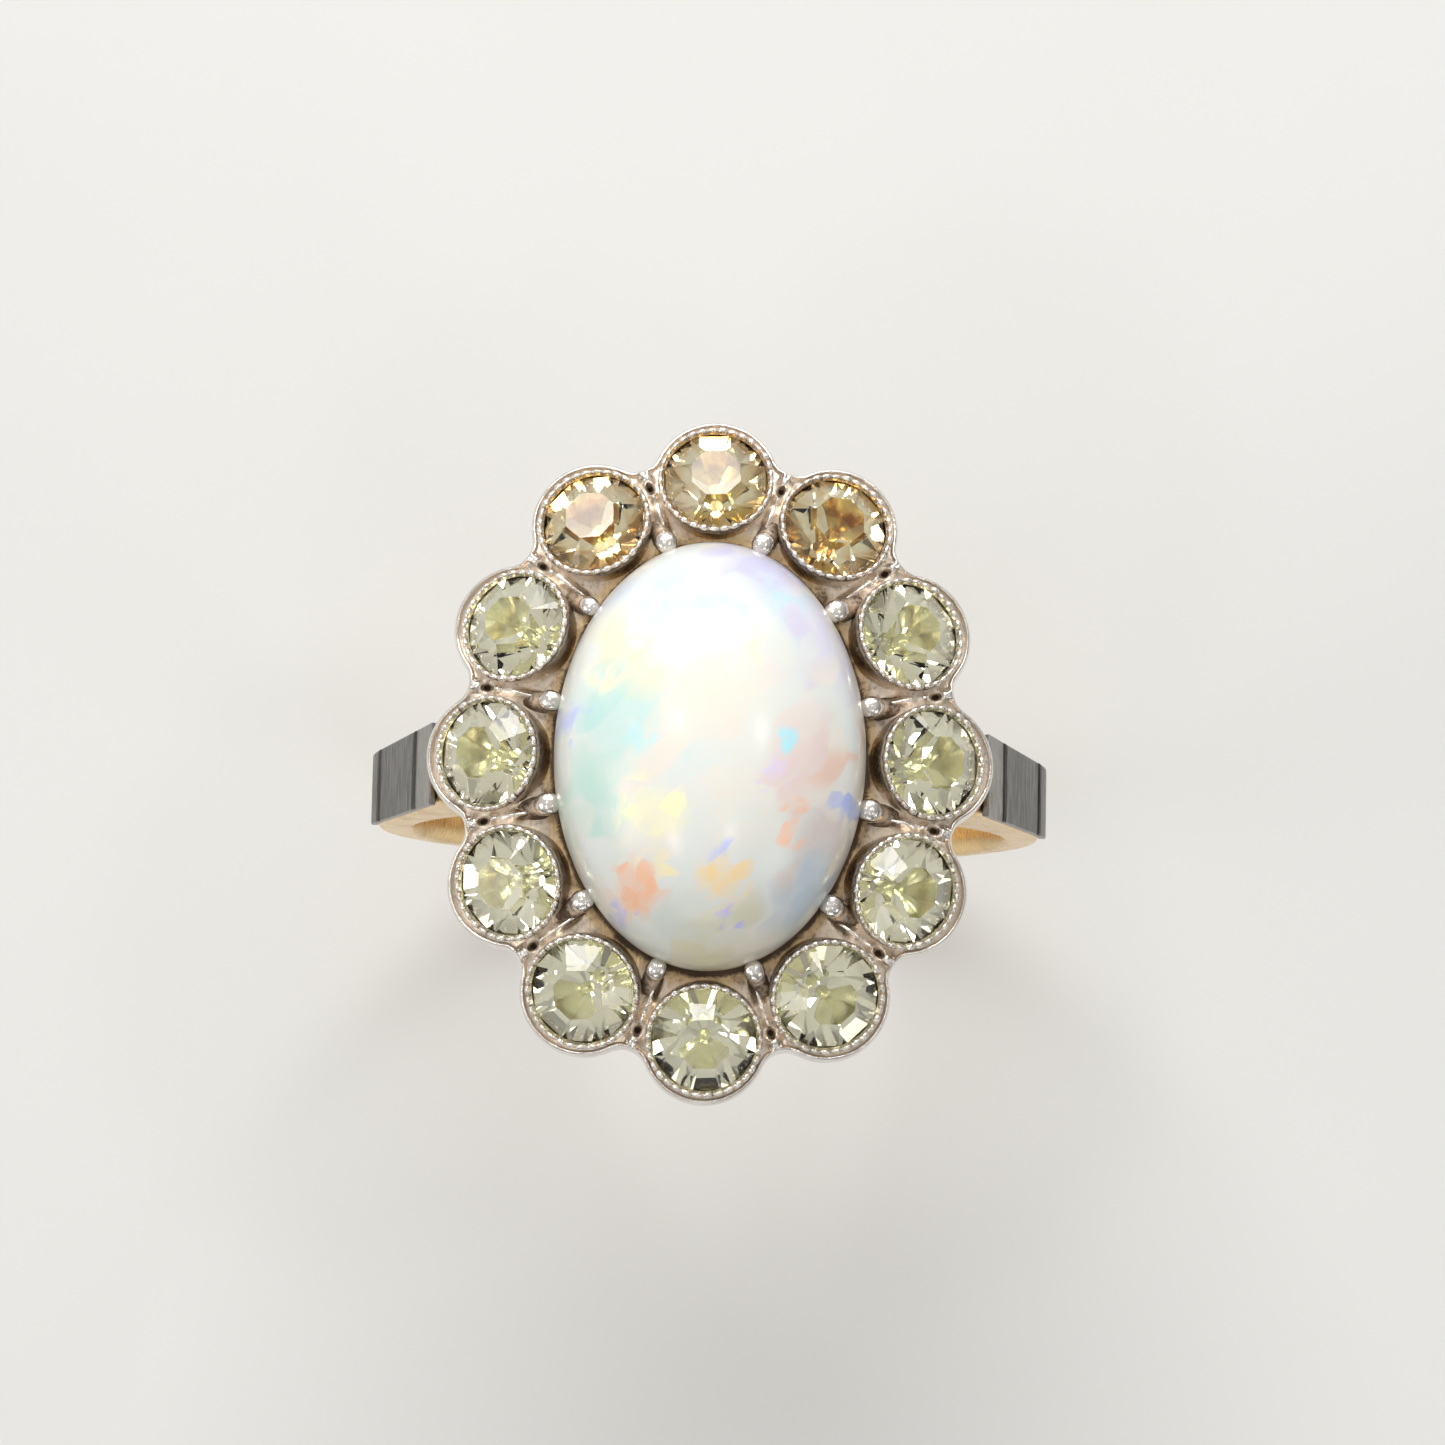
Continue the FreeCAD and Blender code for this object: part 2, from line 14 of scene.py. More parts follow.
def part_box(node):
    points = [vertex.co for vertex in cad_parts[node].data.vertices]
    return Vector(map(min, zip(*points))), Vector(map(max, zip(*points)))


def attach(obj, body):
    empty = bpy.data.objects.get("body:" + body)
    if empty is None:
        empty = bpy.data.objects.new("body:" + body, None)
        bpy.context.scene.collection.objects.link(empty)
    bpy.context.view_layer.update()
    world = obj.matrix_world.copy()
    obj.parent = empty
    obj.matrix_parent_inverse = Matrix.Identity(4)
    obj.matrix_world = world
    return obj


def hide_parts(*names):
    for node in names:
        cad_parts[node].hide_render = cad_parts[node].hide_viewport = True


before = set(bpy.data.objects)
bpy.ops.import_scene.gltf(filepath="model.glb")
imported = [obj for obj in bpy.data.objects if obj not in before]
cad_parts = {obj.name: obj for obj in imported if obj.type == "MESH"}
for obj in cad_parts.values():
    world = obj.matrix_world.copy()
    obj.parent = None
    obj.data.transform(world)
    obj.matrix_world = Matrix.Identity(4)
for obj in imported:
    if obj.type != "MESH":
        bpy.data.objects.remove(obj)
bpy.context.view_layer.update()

bl_info = {
    "name": "Opal and Paste Ring",
    "version": (1, 0, 0),
    "blender": (4, 5, 0),
    "location": "3D View > Sidebar > Ring",
    "description": "Makes the pieces of a millgrained opal cluster ring",
    "category": "Add Mesh",
}

MM = 0.001
WELD = 0.0005 * MM      # corners nearer than this are one corner
OPAL_GAP = 0.05 * MM    # opal drawn in from its box, clear of the claws
PIECE_GAP = 0.02 * MM   # clearance between soldered pieces
STONE_GAP = 0.015 * MM  # stone drawn in from its collet
OPAL_LOW, OPAL_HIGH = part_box("opal")
FRAME_LOW, FRAME_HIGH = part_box("scalloped_frame")
BACK_LOW, BACK_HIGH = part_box("gold_back")
HOOP_LOW, HOOP_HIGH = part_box("shank")
STONES = len([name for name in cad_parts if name.startswith("stone_")])


def length(name, default, description):
    return FloatProperty(name=name, description=description, default=default,
                         unit="LENGTH", precision=6, min=0.0)


def angle(name, degrees, description):
    return FloatProperty(name=name, description=description, default=math.radians(degrees),
                         subtype="ANGLE")


def colour(name, default, description):
    return FloatVectorProperty(name=name, description=description, default=default,
                               size=3, subtype="COLOR", min=0.0, max=1.0)


class RingSizes(bpy.types.PropertyGroup):
    """Sizes of the ring's visible pieces."""
    finger_radius: length("Finger radius", 9.05 * MM, "Inside of the hoop")
    hoop_radius: length("Hoop radius", HOOP_HIGH.x, "Outside of the gold hoop")
    shoulder_angle: angle("Shoulder angle", 73, "Where the straight shoulders leave the hoop")
    facing_end: angle("Facing end", 80, "Where the silver on the shoulders stops")
    facing_thickness: length("Facing thickness", 0.23 * MM, "Silver sheet on the shoulders")
    groove_height: length("Groove height", 7.45 * MM, "Height of the upper cross groove")
    band_top: length("Band width at the head", 2.40 * MM, "Hoop width under the head")
    band_bottom: length("Band width at the bottom", 1.86 * MM, "Hoop width at the bottom")
    lobe_radius: length("Lobe radius", 1.80 * MM, "Radius of each scallop")
    fillet_radius: length("Hollow radius", 0.70 * MM, "Hollow between two scallops")
    bed_step: length("Bed step", 0.20 * MM, "Flat bed above the stones' widest line")
    stone_radius: length("Stone radius", 1.50 * MM, "Radius of a paste stone")
    stone_sink: length("Stone height in collet", 1.914 * MM, "Widest line above the back")
    tilt_side: angle("Lean at the sides", 28, "Outward lean of the stones by the shoulders")
    tilt_end: angle("Lean at the ends", 17, "Outward lean of the stones at the ends")
    grain_radius: length("Grain radius", 0.098 * MM, "Radius of one millgrain bead")
    grain_count: IntProperty(name="Grains", description="Millgrain beads round a stone",
                             default=33, min=8)
    claw_radius: length("Claw radius", 0.33 * MM, "Radius of a bead claw's head")


class RingColours(bpy.types.PropertyGroup):
    """Colours of the ring's finishes."""
    silver: colour("Silver", (0.90, 0.855, 0.80), "Worn silver, a little warm")
    # Tarnish is also the colour of the painted shadow band along the opal's edge.
    tarnish_and_shadow: colour("Tarnish", (0.13, 0.085, 0.055), "Old dirt in the recesses")
    gold: colour("Gold", (0.86, 0.63, 0.33), "Shank and back")
    paste: colour("Paste", (0.97, 0.96, 0.735), "Clear stones")
    amber: colour("Old paste", (0.97, 0.90, 0.60), "Stones that have yellowed")
    foil: colour("Foil", (0.93, 0.92, 0.80), "Foil behind the stones")
    rust: colour("Spoilt foil", (0.50, 0.27, 0.09), "Foil that has gone brown")
    floor: colour("Floor", (0.73, 0.73, 0.715), "Plain floor")


def sizes():
    return bpy.context.scene.ring_sizes


def colours():
    return bpy.context.scene.ring_colours


# ------------------------------------------------------------------ mesh helpers

def lattice(points, loop_u=False, loop_v=False):
    """Corners and quads of a grid of points (U, V, 3), joined round in u or v if asked."""
    count_u, count_v = points.shape[:2]
    rows = np.arange(count_u if loop_u else count_u - 1)
    cols = np.arange(count_v if loop_v else count_v - 1)
    u, v = np.meshgrid(rows, cols, indexing="ij")
    next_u, next_v = (u + 1) % count_u, (v + 1) % count_v
    quads = np.stack([u * count_v + v, next_u * count_v + v,
                      next_u * count_v + next_v, u * count_v + next_v], -1)
    return points.reshape(-1, points.shape[2]), quads.reshape(-1, 4)


def joined(parts):
    """One set of corners and quads from several."""
    corners, quads, start = [], [], 0
    for part_corners, part_quads in parts:
        corners.append(part_corners)
        quads.append(part_quads + start)
        start += len(part_corners)
    return np.concatenate(corners), np.concatenate(quads)


def enclosed(corners, quads):
    """Volume inside a closed set of quads, negative if they face inwards."""
    a, b, c, d = (corners[quads[:, k], :3] for k in range(4))
    return (np.einsum("ij,ij->i", a, np.cross(b, c)).sum()
            + np.einsum("ij,ij->i", a, np.cross(c, d)).sum()) / 6


def outward(part):
    """The same surface with its quads facing out."""
    corners, quads = part
    return (corners, quads[:, ::-1]) if enclosed(corners, quads) < 0 else part


def make_piece(name, part, smooth=True):
    """Mesh object from corners and quads; corners at one spot are welded, and a fourth
    column is kept as the corner attribute 'grime'."""
    corners, quads = part
    faces = [list(dict.fromkeys(quad)) for quad in quads.tolist()]
    mesh = bpy.data.meshes.new(name)
    mesh.from_pydata(corners[:, :3].tolist(), [], faces)
    if corners.shape[1] > 3:
        layer = mesh.attributes.new("grime", "FLOAT", "POINT")
        layer.data.foreach_set("value", corners[:, 3].astype(np.float32))
    shell = bmesh.new()
    shell.from_mesh(mesh)
    bmesh.ops.remove_doubles(shell, verts=shell.verts, dist=WELD)
    shell.to_mesh(mesh)
    shell.free()
    mesh.polygons.foreach_set("use_smooth", np.full(len(mesh.polygons), smooth))
    mesh.update()
    piece = bpy.data.objects.new(name, mesh)
    bpy.context.scene.collection.objects.link(piece)
    return piece


def fit_out(piece, material, node):
    """Gives a piece its finish and its body, and hides the frame node it stands for."""
    piece.data.materials.append(material)
    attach(piece, "root")
    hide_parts(node)


def refinish(node, material):
    """Gives a frame node that stays visible a new finish."""
    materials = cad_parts[node].data.materials
    materials.clear()
    materials.append(material)


def fan(edge):
    """Strip from a closed run of points (1, V, ..) to their middle, to close an end."""
    return np.concatenate([edge, np.repeat(edge.mean(1, keepdims=True), edge.shape[1], 1)])


def with_grime(points, grime):
    """Points (.., 3) and a value for each, side by side."""
    return np.concatenate([points, np.broadcast_to(grime, points.shape[:-1])[..., None]], -1)


def bump_shape(distance, radius):
    """Bell curve: one at distance nought, 1/e at the radius."""
    return np.exp(-(distance / radius) ** 2)


def step_up(value, ease):
    """Smooth step from nought to one as the value passes nought."""
    return 1 / (1 + np.exp(-value / ease))


def ripple(points, seed, scale):
    """Smooth uneven value between about -1 and 1: a sum of a few tilted sine waves."""
    rng = np.random.default_rng(seed)
    total = np.zeros(points.shape[:-1])
    for _ in range(6):
        way = rng.normal(size=3)
        way *= rng.uniform(0.6, 1.6) / np.linalg.norm(way) / scale
        total += np.sin(points[..., :3] @ way + rng.uniform(0, 2 * math.pi))
    return total / 3


# ------------------------------------------------------------------ places on the oval

def ring_axes():
    """Half width and half length of the oval that the stones' centres lie on."""
    lobe = sizes().lobe_radius
    return OPAL_HIGH.x + lobe, OPAL_HIGH.y + lobe


def oval_turns(half_x, half_y, count, phase=0.0):
    """Parameter angles that cut an oval into equal arcs."""
    fine = np.linspace(0, 2 * math.pi, 7201)
    path = np.stack([half_x * np.cos(fine), half_y * np.sin(fine)], -1)
    run = np.concatenate([[0], np.cumsum(np.linalg.norm(np.diff(path, axis=0), axis=1))])
    return np.interp((np.arange(count) + phase) / count * run[-1], run, fine)


def stone_centres():
    """Parameter angle and place of every stone's centre on the oval."""
    half_x, half_y = ring_axes()
    turns = oval_turns(half_x, half_y, STONES)
    return turns, np.stack([half_x * np.cos(turns), half_y * np.sin(turns)], -1)


def stone_level():
    """Height of the stones' widest line."""
    return FRAME_HIGH.z - sizes().bed_step


def stone_leans(turns):
    """Which way each stone leans, square to the oval, and by how much: an even blend of
    the lean at the sides and the lean at the ends."""
    half_x, half_y = ring_axes()
    heading = np.arctan2(np.sin(turns) / half_y, np.cos(turns) / half_x)
    lean = sizes().tilt_side * np.cos(turns) ** 2 + sizes().tilt_end * np.sin(turns) ** 2
    return heading, lean


def settings():
    """For every stone: the turning matrix and the centre of its widest line."""
    turns, centres = stone_centres()
    heading, lean = stone_leans(turns)
    places = []
    for index in range(STONES):
        turning = Matrix.Rotation(heading[index], 3, "Z") @ Matrix.Rotation(lean[index], 3, "Y")
        places.append((np.array(turning), np.array([*centres[index], stone_level()])))
    return places


def placed(points, place):
    """Points drawn about the stone's widest line, leaned and carried to the oval."""
    turning, centre = place
    moved = points.copy()
    moved[..., :3] = points[..., :3] @ turning.T + centre
    return moved


def cone_level(x, y):
    """Height of the sloping top: the oval of stone centres spread by its slope, solved for
    the height at which it passes through each point, and stopped at the flat bed."""
    half_x, half_y = ring_axes()
    slope_x, slope_y = math.tan(sizes().tilt_side), math.tan(sizes().tilt_end)
    newton_steps, least_axis, least_steep, most_rise = 12, 0.1 * MM, 1e-9, 1.5 * MM
    rise = np.zeros_like(x)
    for _ in range(newton_steps):
        wide = np.maximum(half_x - rise / slope_x, least_axis)
        tall = np.maximum(half_y - rise / slope_y, least_axis)
        miss = (x / wide) ** 2 + (y / tall) ** 2 - 1
        steep = 2 * x ** 2 / wide ** 3 / slope_x + 2 * y ** 2 / tall ** 3 / slope_y
        rise = np.minimum(rise - miss / np.maximum(steep, least_steep), most_rise)
    bed = sizes().bed_step
    soft = 0.05 * MM
    return stone_level() + bed - soft * np.logaddexp(0, (bed - rise) / soft)


# ------------------------------------------------------------------ finishes

class Finish:
    """Small helper that adds nodes to a material, with Object coordinates in millimetres."""

    def __init__(self, name):
        self.material = bpy.data.materials.new(name)
        self.material.use_nodes = True
        self.tree = self.material.node_tree
        self.shader = self.tree.nodes["Principled BSDF"]
        self.place = self.add("ShaderNodeTexCoord").outputs["Object"]
        self.millimetres = self.mapped(self.place, scale=(1000, 1000, 1000))

    def add(self, kind, **settings):
        node = self.tree.nodes.new(kind)
        for key, value in settings.items():
            setattr(node, key, value)
        return node

    def link(self, out, into):
        self.tree.links.new(out, into)

    def feed(self, socket, value):
        if isinstance(value, bpy.types.NodeSocket):
            self.link(value, socket)
        else:
            socket.default_value = value

    def mapped(self, source, scale=(1, 1, 1), turn=(0, 0, 0), shift=(0, 0, 0)):
        node = self.add("ShaderNodeMapping")
        node.inputs["Scale"].default_value = scale
        node.inputs["Rotation"].default_value = turn
        node.inputs["Location"].default_value = shift
        self.link(source, node.inputs["Vector"])
        return node.outputs["Vector"]

    def noise(self, scale, detail=3.0, source=None, roughness=0.5, out="Fac"):
        node = self.add("ShaderNodeTexNoise")
        node.inputs["Scale"].default_value = scale
        node.inputs["Detail"].default_value = detail
        node.inputs["Roughness"].default_value = roughness
        self.link(source or self.millimetres, node.inputs["Vector"])
        return node.outputs[out]

    def spread(self, value, low, high, to_low=0.0, to_high=1.0):
        """Eases a value between low and high to a value between to_low and to_high."""
        node = self.add("ShaderNodeMapRange", interpolation_type="SMOOTHSTEP")
        self.link(value, node.inputs["Value"])
        for socket, number in zip(("From Min", "From Max", "To Min", "To Max"),
                                  (low, high, to_low, to_high)):
            node.inputs[socket].default_value = number
        return node.outputs["Result"]

    def math(self, operation, first, second=0.0):
        node = self.add("ShaderNodeMath", operation=operation)
        self.feed(node.inputs[0], first)
        self.feed(node.inputs[1], second)
        return node.outputs["Value"]

    def blend(self, share, first, second):
        """Mixes two colours, each a plain colour or a socket."""
        node = self.add("ShaderNodeMix", data_type="RGBA")
        self.feed(node.inputs["Factor"], share)
        sockets = [socket for socket in node.inputs if socket.type == "RGBA"]
        for socket, value in zip(sockets, (first, second)):
            linked = isinstance(value, bpy.types.NodeSocket)
            self.feed(socket, value if linked else (*value, 1.0))
        return next(socket for socket in node.outputs if socket.type == "RGBA")

    def attribute(self, name):
        return self.add("ShaderNodeAttribute", attribute_name=name).outputs["Fac"]

    def oval_reach(self):
        """How far out a point lies over the opal: one on the opal's edge."""
        length = self.add("ShaderNodeVectorMath", operation="LENGTH")
        self.link(self.mapped(self.place, scale=(1 / OPAL_HIGH.x, 1 / OPAL_HIGH.y, 0)),
                  length.inputs[0])
        return length.outputs["Value"]

    def bump(self, height, strength, distance):
        node = self.add("ShaderNodeBump")
        node.inputs["Strength"].default_value = strength
        node.inputs["Distance"].default_value = distance
        self.link(height, node.inputs["Height"])
        self.link(node.outputs["Normal"], self.shader.inputs["Normal"])

    def set(self, **values):
        """Feeds the shader's sockets by name, with underscores for spaces."""
        for key, value in values.items():
            self.feed(self.shader.inputs[key.replace("_", " ")], value)


# Colours of wear and dirt, which the finishes lay over the colours chosen in the panel; the brown
# gold is also painted shade on the low silver beside the opal.
DUST, PALE_DUST = (0.76, 0.64, 0.51), (0.88, 0.79, 0.69)
GOLD_STAIN_AND_SHADE = (0.66, 0.46, 0.22)
GROOVE_DIRT = (0.07, 0.05, 0.04)
WIRE_DARK, WIRE_LIGHT = (0.20, 0.13, 0.06), (0.46, 0.33, 0.16)
GLASS_STAIN = (0.66, 0.36, 0.09)
FOIL_TARNISH, FOIL_YELLOW = (0.80, 0.79, 0.68), (0.80, 0.72, 0.45)
FINISHES = {}


def finish(name, make):
    """The material of that name, made once."""
    if name not in FINISHES:
        FINISHES[name] = make(name)
    return FINISHES[name]


def dimmed(share, tint):
    """A colour at a share of its brightness."""
    return tuple(share * channel for channel in tint)


def scratches(kit, turn, scale):
    """Fine hairlines: noise stretched twenty times along one way."""
    drawn = kit.mapped(kit.millimetres, scale=(scale, scale * 0.05, scale), turn=turn)
    return kit.noise(1.0, 2.0, source=drawn)


def worn_silver(name):
    """Silver worn bright on its high spots, brown with old dirt in its recesses, and
    darkened by painted shadow round the opal: brown gold low down beside it, and the tarnish colour
    along its edge."""
    kit = Finish(name)
    paint = colours()
    patches = kit.noise(1.1, 5.0, roughness=0.6)
    speckle = kit.noise(9.0, 3.0)
    grime = kit.math("MULTIPLY", kit.attribute("grime"), 1.15)
    grime = kit.math("ADD", grime, kit.spread(speckle, 0.40, 0.75, -0.08, 0.10))
    grime = kit.math("ADD", grime, kit.spread(patches, 0.45, 0.70, -0.10, 0.16))
    bright = kit.blend(kit.spread(patches, 0.35, 0.65), paint.silver,
                       dimmed(0.86, paint.silver))
    dusty = kit.blend(kit.spread(patches, 0.40, 0.70), DUST, PALE_DUST)
    skin = kit.blend(kit.spread(grime, 0.10, 0.50), bright, dusty)
    away = kit.oval_reach()
    height = kit.add("ShaderNodeSeparateXYZ")
    kit.link(kit.place, height.inputs["Vector"])
    low = kit.spread(height.outputs["Z"], FRAME_HIGH.z + 0.15 * MM, FRAME_HIGH.z + 0.30 * MM,
                     1.0, 0.0)
    # Painted shade: the low silver just outside the opal's edge is turned brown gold, as the opal's
    # shadow at its foot.
    painted_shade_by_opal = kit.math("MULTIPLY", low, kit.spread(away, 1.03, 1.10, 0.8, 0.0))
    skin = kit.blend(painted_shade_by_opal, skin, GOLD_STAIN_AND_SHADE)
    kit.set(Base_Color=kit.blend(kit.spread(grime, 0.55, 1.0), skin, paint.tarnish_and_shadow))
    kit.set(Metallic=kit.spread(grime, 0.3, 1.0, 1.0, 0.6))
    kit.set(Roughness=kit.math("ADD", kit.spread(grime, 0.1, 0.9, 0.19, 0.55),
                               kit.spread(patches, 0.3, 0.7, -0.05, 0.08)))
    kit.bump(kit.math("ADD", speckle, scratches(kit, (0.3, 0.2, 0.7), 14)), 0.35, 0.03 * MM)
    return kit.material


def dull_silver_in_painted_shade(name):
    """Flat silver of the shoulders, painted dark as shade: a dim silver, finely scratched
    along and across, rubbed brighter at the edges."""
    kit = Finish(name)
    paint = colours()
    patches = kit.noise(0.9, 6.0, roughness=0.65)
    along = scratches(kit, (0.0, 0.4, 0.1), 18)
    across = scratches(kit, (1.2, 0.0, 1.4), 22)
    grime = kit.math("ADD", kit.attribute("grime"), kit.spread(patches, 0.4, 0.75, -0.1, 0.2))
    # Painted shade: the silver is kept at a third, and on the flat at a ninth, of its brightness to
    # stand for the shade and dark reflections the shoulders lie in; grooves go to dirt.
    skin = kit.blend(kit.spread(grime, 0.05, 0.50), dimmed(0.33, paint.silver),
                     dimmed(0.11, paint.silver))
    kit.set(Base_Color=kit.blend(kit.spread(grime, 0.65, 1.0), skin, GROOVE_DIRT))
    kit.set(Metallic=1.0)
    kit.set(Roughness=kit.spread(along, 0.3, 0.7, 0.24, 0.48))
    kit.bump(kit.math("ADD", along, across), 0.4, 0.02 * MM)
    return kit.material


def old_gold(name):
    """Low-carat gold: soft polish, hairline scratches, darker where dirt has settled."""
    kit = Finish(name)
    paint = colours()
    patches = kit.noise(0.8, 5.0, roughness=0.6)
    hairs = scratches(kit, (0.0, 0.9, 0.2), 16)
    cross = scratches(kit, (0.9, 0.1, 1.3), 20)
    kit.set(Base_Color=kit.blend(kit.spread(patches, 0.42, 0.80), paint.gold, GOLD_STAIN_AND_SHADE))
    kit.set(Metallic=1.0)
    kit.set(Roughness=kit.math("ADD", kit.spread(hairs, 0.3, 0.7, 0.18, 0.34),
                               kit.spread(patches, 0.4, 0.8, 0.0, 0.12)))
    kit.bump(kit.math("ADD", hairs, cross), 0.3, 0.015 * MM)
    return kit.material


def dirty_gold(name):
    """Gold wire under the opal, nearly hidden by brown dirt."""
    kit = Finish(name)
    patches = kit.noise(2.5, 4.0)
    kit.set(Base_Color=kit.blend(kit.spread(patches, 0.35, 0.65), WIRE_DARK, WIRE_LIGHT))
    kit.set(Metallic=0.7)
    kit.set(Roughness=kit.spread(patches, 0.3, 0.7, 0.35, 0.6))
    return kit.material


def paste_glass(name, tint, haze, stain):
    """Old lead paste: clear, faintly tinted, with a few rubbed patches, and stained brown
    towards the edge of the stone."""
    kit = Finish(name)
    rubbed = kit.noise(2.2, 4.0)
    brown = kit.math("ADD", kit.attribute("grime"), kit.math("MULTIPLY", rubbed, 0.8))
    kit.set(Base_Color=kit.blend(kit.spread(brown, 0.98, 1.38, 0.0, stain), tint,
                                 GLASS_STAIN))
    kit.set(Transmission_Weight=1.0)
    kit.set(IOR=1.6)
    kit.set(Roughness=kit.spread(rubbed, 0.5, 0.8, 0.0, haze))
    return kit.material


def foil_finish(name, clean, spoilt, share):
    """Crinkled foil; a larger share turns more of it to the spoilt colour, in blotches."""
    kit = Finish(name)
    blotch = kit.noise(1.6, 5.0, roughness=0.6)
    crinkle = kit.noise(2.6, 2.0)
    kit.set(Base_Color=kit.blend(kit.spread(blotch, 0.62 - share, 0.78 - share), clean,
                                 spoilt))
    kit.set(Metallic=0.85)
    kit.set(Roughness=kit.spread(crinkle, 0.3, 0.7, 0.14, 0.26))
    kit.bump(crinkle, 0.25, 0.03 * MM)
    return kit.material


# Each: middle across and along the opal and radius in millimetres, colour, strength.
OPAL_CLOUDS = [
    (0.10, 1.60, 1.7, (1.00, 0.97, 0.84), 0.85),
    (0.60, -1.20, 1.2, (1.00, 0.96, 0.86), 0.85),
    (-0.90, 3.90, 1.5, (0.76, 0.89, 1.00), 0.95),
    (1.45, 5.30, 1.5, (0.70, 0.70, 1.00), 1.00),
    (-3.40, 4.46, 1.3, (0.70, 0.80, 1.00), 1.00),
    (2.10, 3.80, 0.9, (0.68, 0.91, 1.00), 0.95),
    (3.10, 3.00, 1.4, (0.83, 0.80, 0.97), 0.95),
    (-2.45, 2.40, 1.1, (1.00, 0.94, 0.70), 1.00),
    (-2.70, 0.80, 1.5, (0.62, 0.92, 0.87), 0.95),
    (-3.20, -1.50, 1.3, (0.66, 0.91, 0.83), 0.95),
    (2.50, -0.30, 1.1, (0.98, 0.80, 0.76), 0.95),
    (3.70, 0.00, 0.7, (1.00, 0.72, 0.60), 0.90),
    (2.90, -2.50, 1.2, (0.86, 0.73, 0.69), 0.95),
    (2.60, -3.90, 1.1, (0.60, 0.75, 0.91), 0.95),
    (-1.00, -4.90, 1.2, (0.82, 0.88, 0.82), 0.95),
    (0.30, -5.60, 1.3, (0.84, 0.79, 0.54), 0.95),
]
OPAL_FLASHES = [
    (-1.50, -1.90, 0.95, (1.00, 0.96, 0.62), 0.95),
    (-3.10, 1.75, 0.50, (1.00, 0.95, 0.64), 0.80),
    (-2.20, 3.05, 0.36, (1.00, 0.78, 0.82), 0.75),
    (1.05, 2.60, 0.45, (1.00, 0.94, 0.66), 0.75),
    (-1.95, -3.90, 0.72, (1.00, 0.58, 0.38), 1.00),
    (-1.35, -3.25, 0.36, (1.00, 0.88, 0.54), 0.90),
    (-2.40, -4.60, 0.30, (0.56, 0.52, 1.00), 0.90),
    (0.35, -3.60, 0.66, (1.00, 0.76, 0.42), 1.00),
    (0.50, -2.85, 0.34, (0.60, 0.64, 1.00), 0.95),
    (0.50, -4.65, 0.28, (0.60, 0.56, 1.00), 0.90),
    (2.45, -1.70, 0.36, (1.00, 0.58, 0.40), 1.00),
    (2.35, -2.35, 0.30, (1.00, 0.62, 0.44), 0.95),
    (3.85, -1.60, 0.42, (0.38, 0.50, 1.00), 0.85),
    (2.10, 0.10, 0.34, (0.46, 0.88, 1.00), 0.90),
    (1.70, -0.75, 0.38, (0.80, 0.70, 1.00), 0.75),
    (-4.05, 0.70, 0.55, (0.52, 0.62, 1.00), 0.85),
    (-2.00, -0.10, 0.46, (0.52, 0.88, 0.92), 0.70),
]
MILKINESS = 0.86    # share of light the clouds give back; flashes give back all of it
MILK_COOL, MILK_WARM = (0.92, 0.96, 0.93), (1.0, 0.95, 0.86)
# RIM_SHADE and SETTING_SHADOW are painted shade: the opal darkened towards its edge, and a thin
# brown shadow line where it sits in the setting.
VEIL, RIM_SHADE, SETTING_SHADOW = (0.84, 0.85, 0.83), (0.50, 0.46, 0.34), (0.24, 0.16, 0.08)
# Each: patches, light given back, cells per millimetre, how far a cell's colour is thrown
# from its place in millimetres, softness of a patch's edge, melting of cells together.
OPAL_LAYERS = [
    (OPAL_CLOUDS, MILKINESS, 0.95, 1.5, 0.65, 0.45),
    (OPAL_FLASHES, 1.0, 2.3, 0.60, 0.60, 0.30),
]


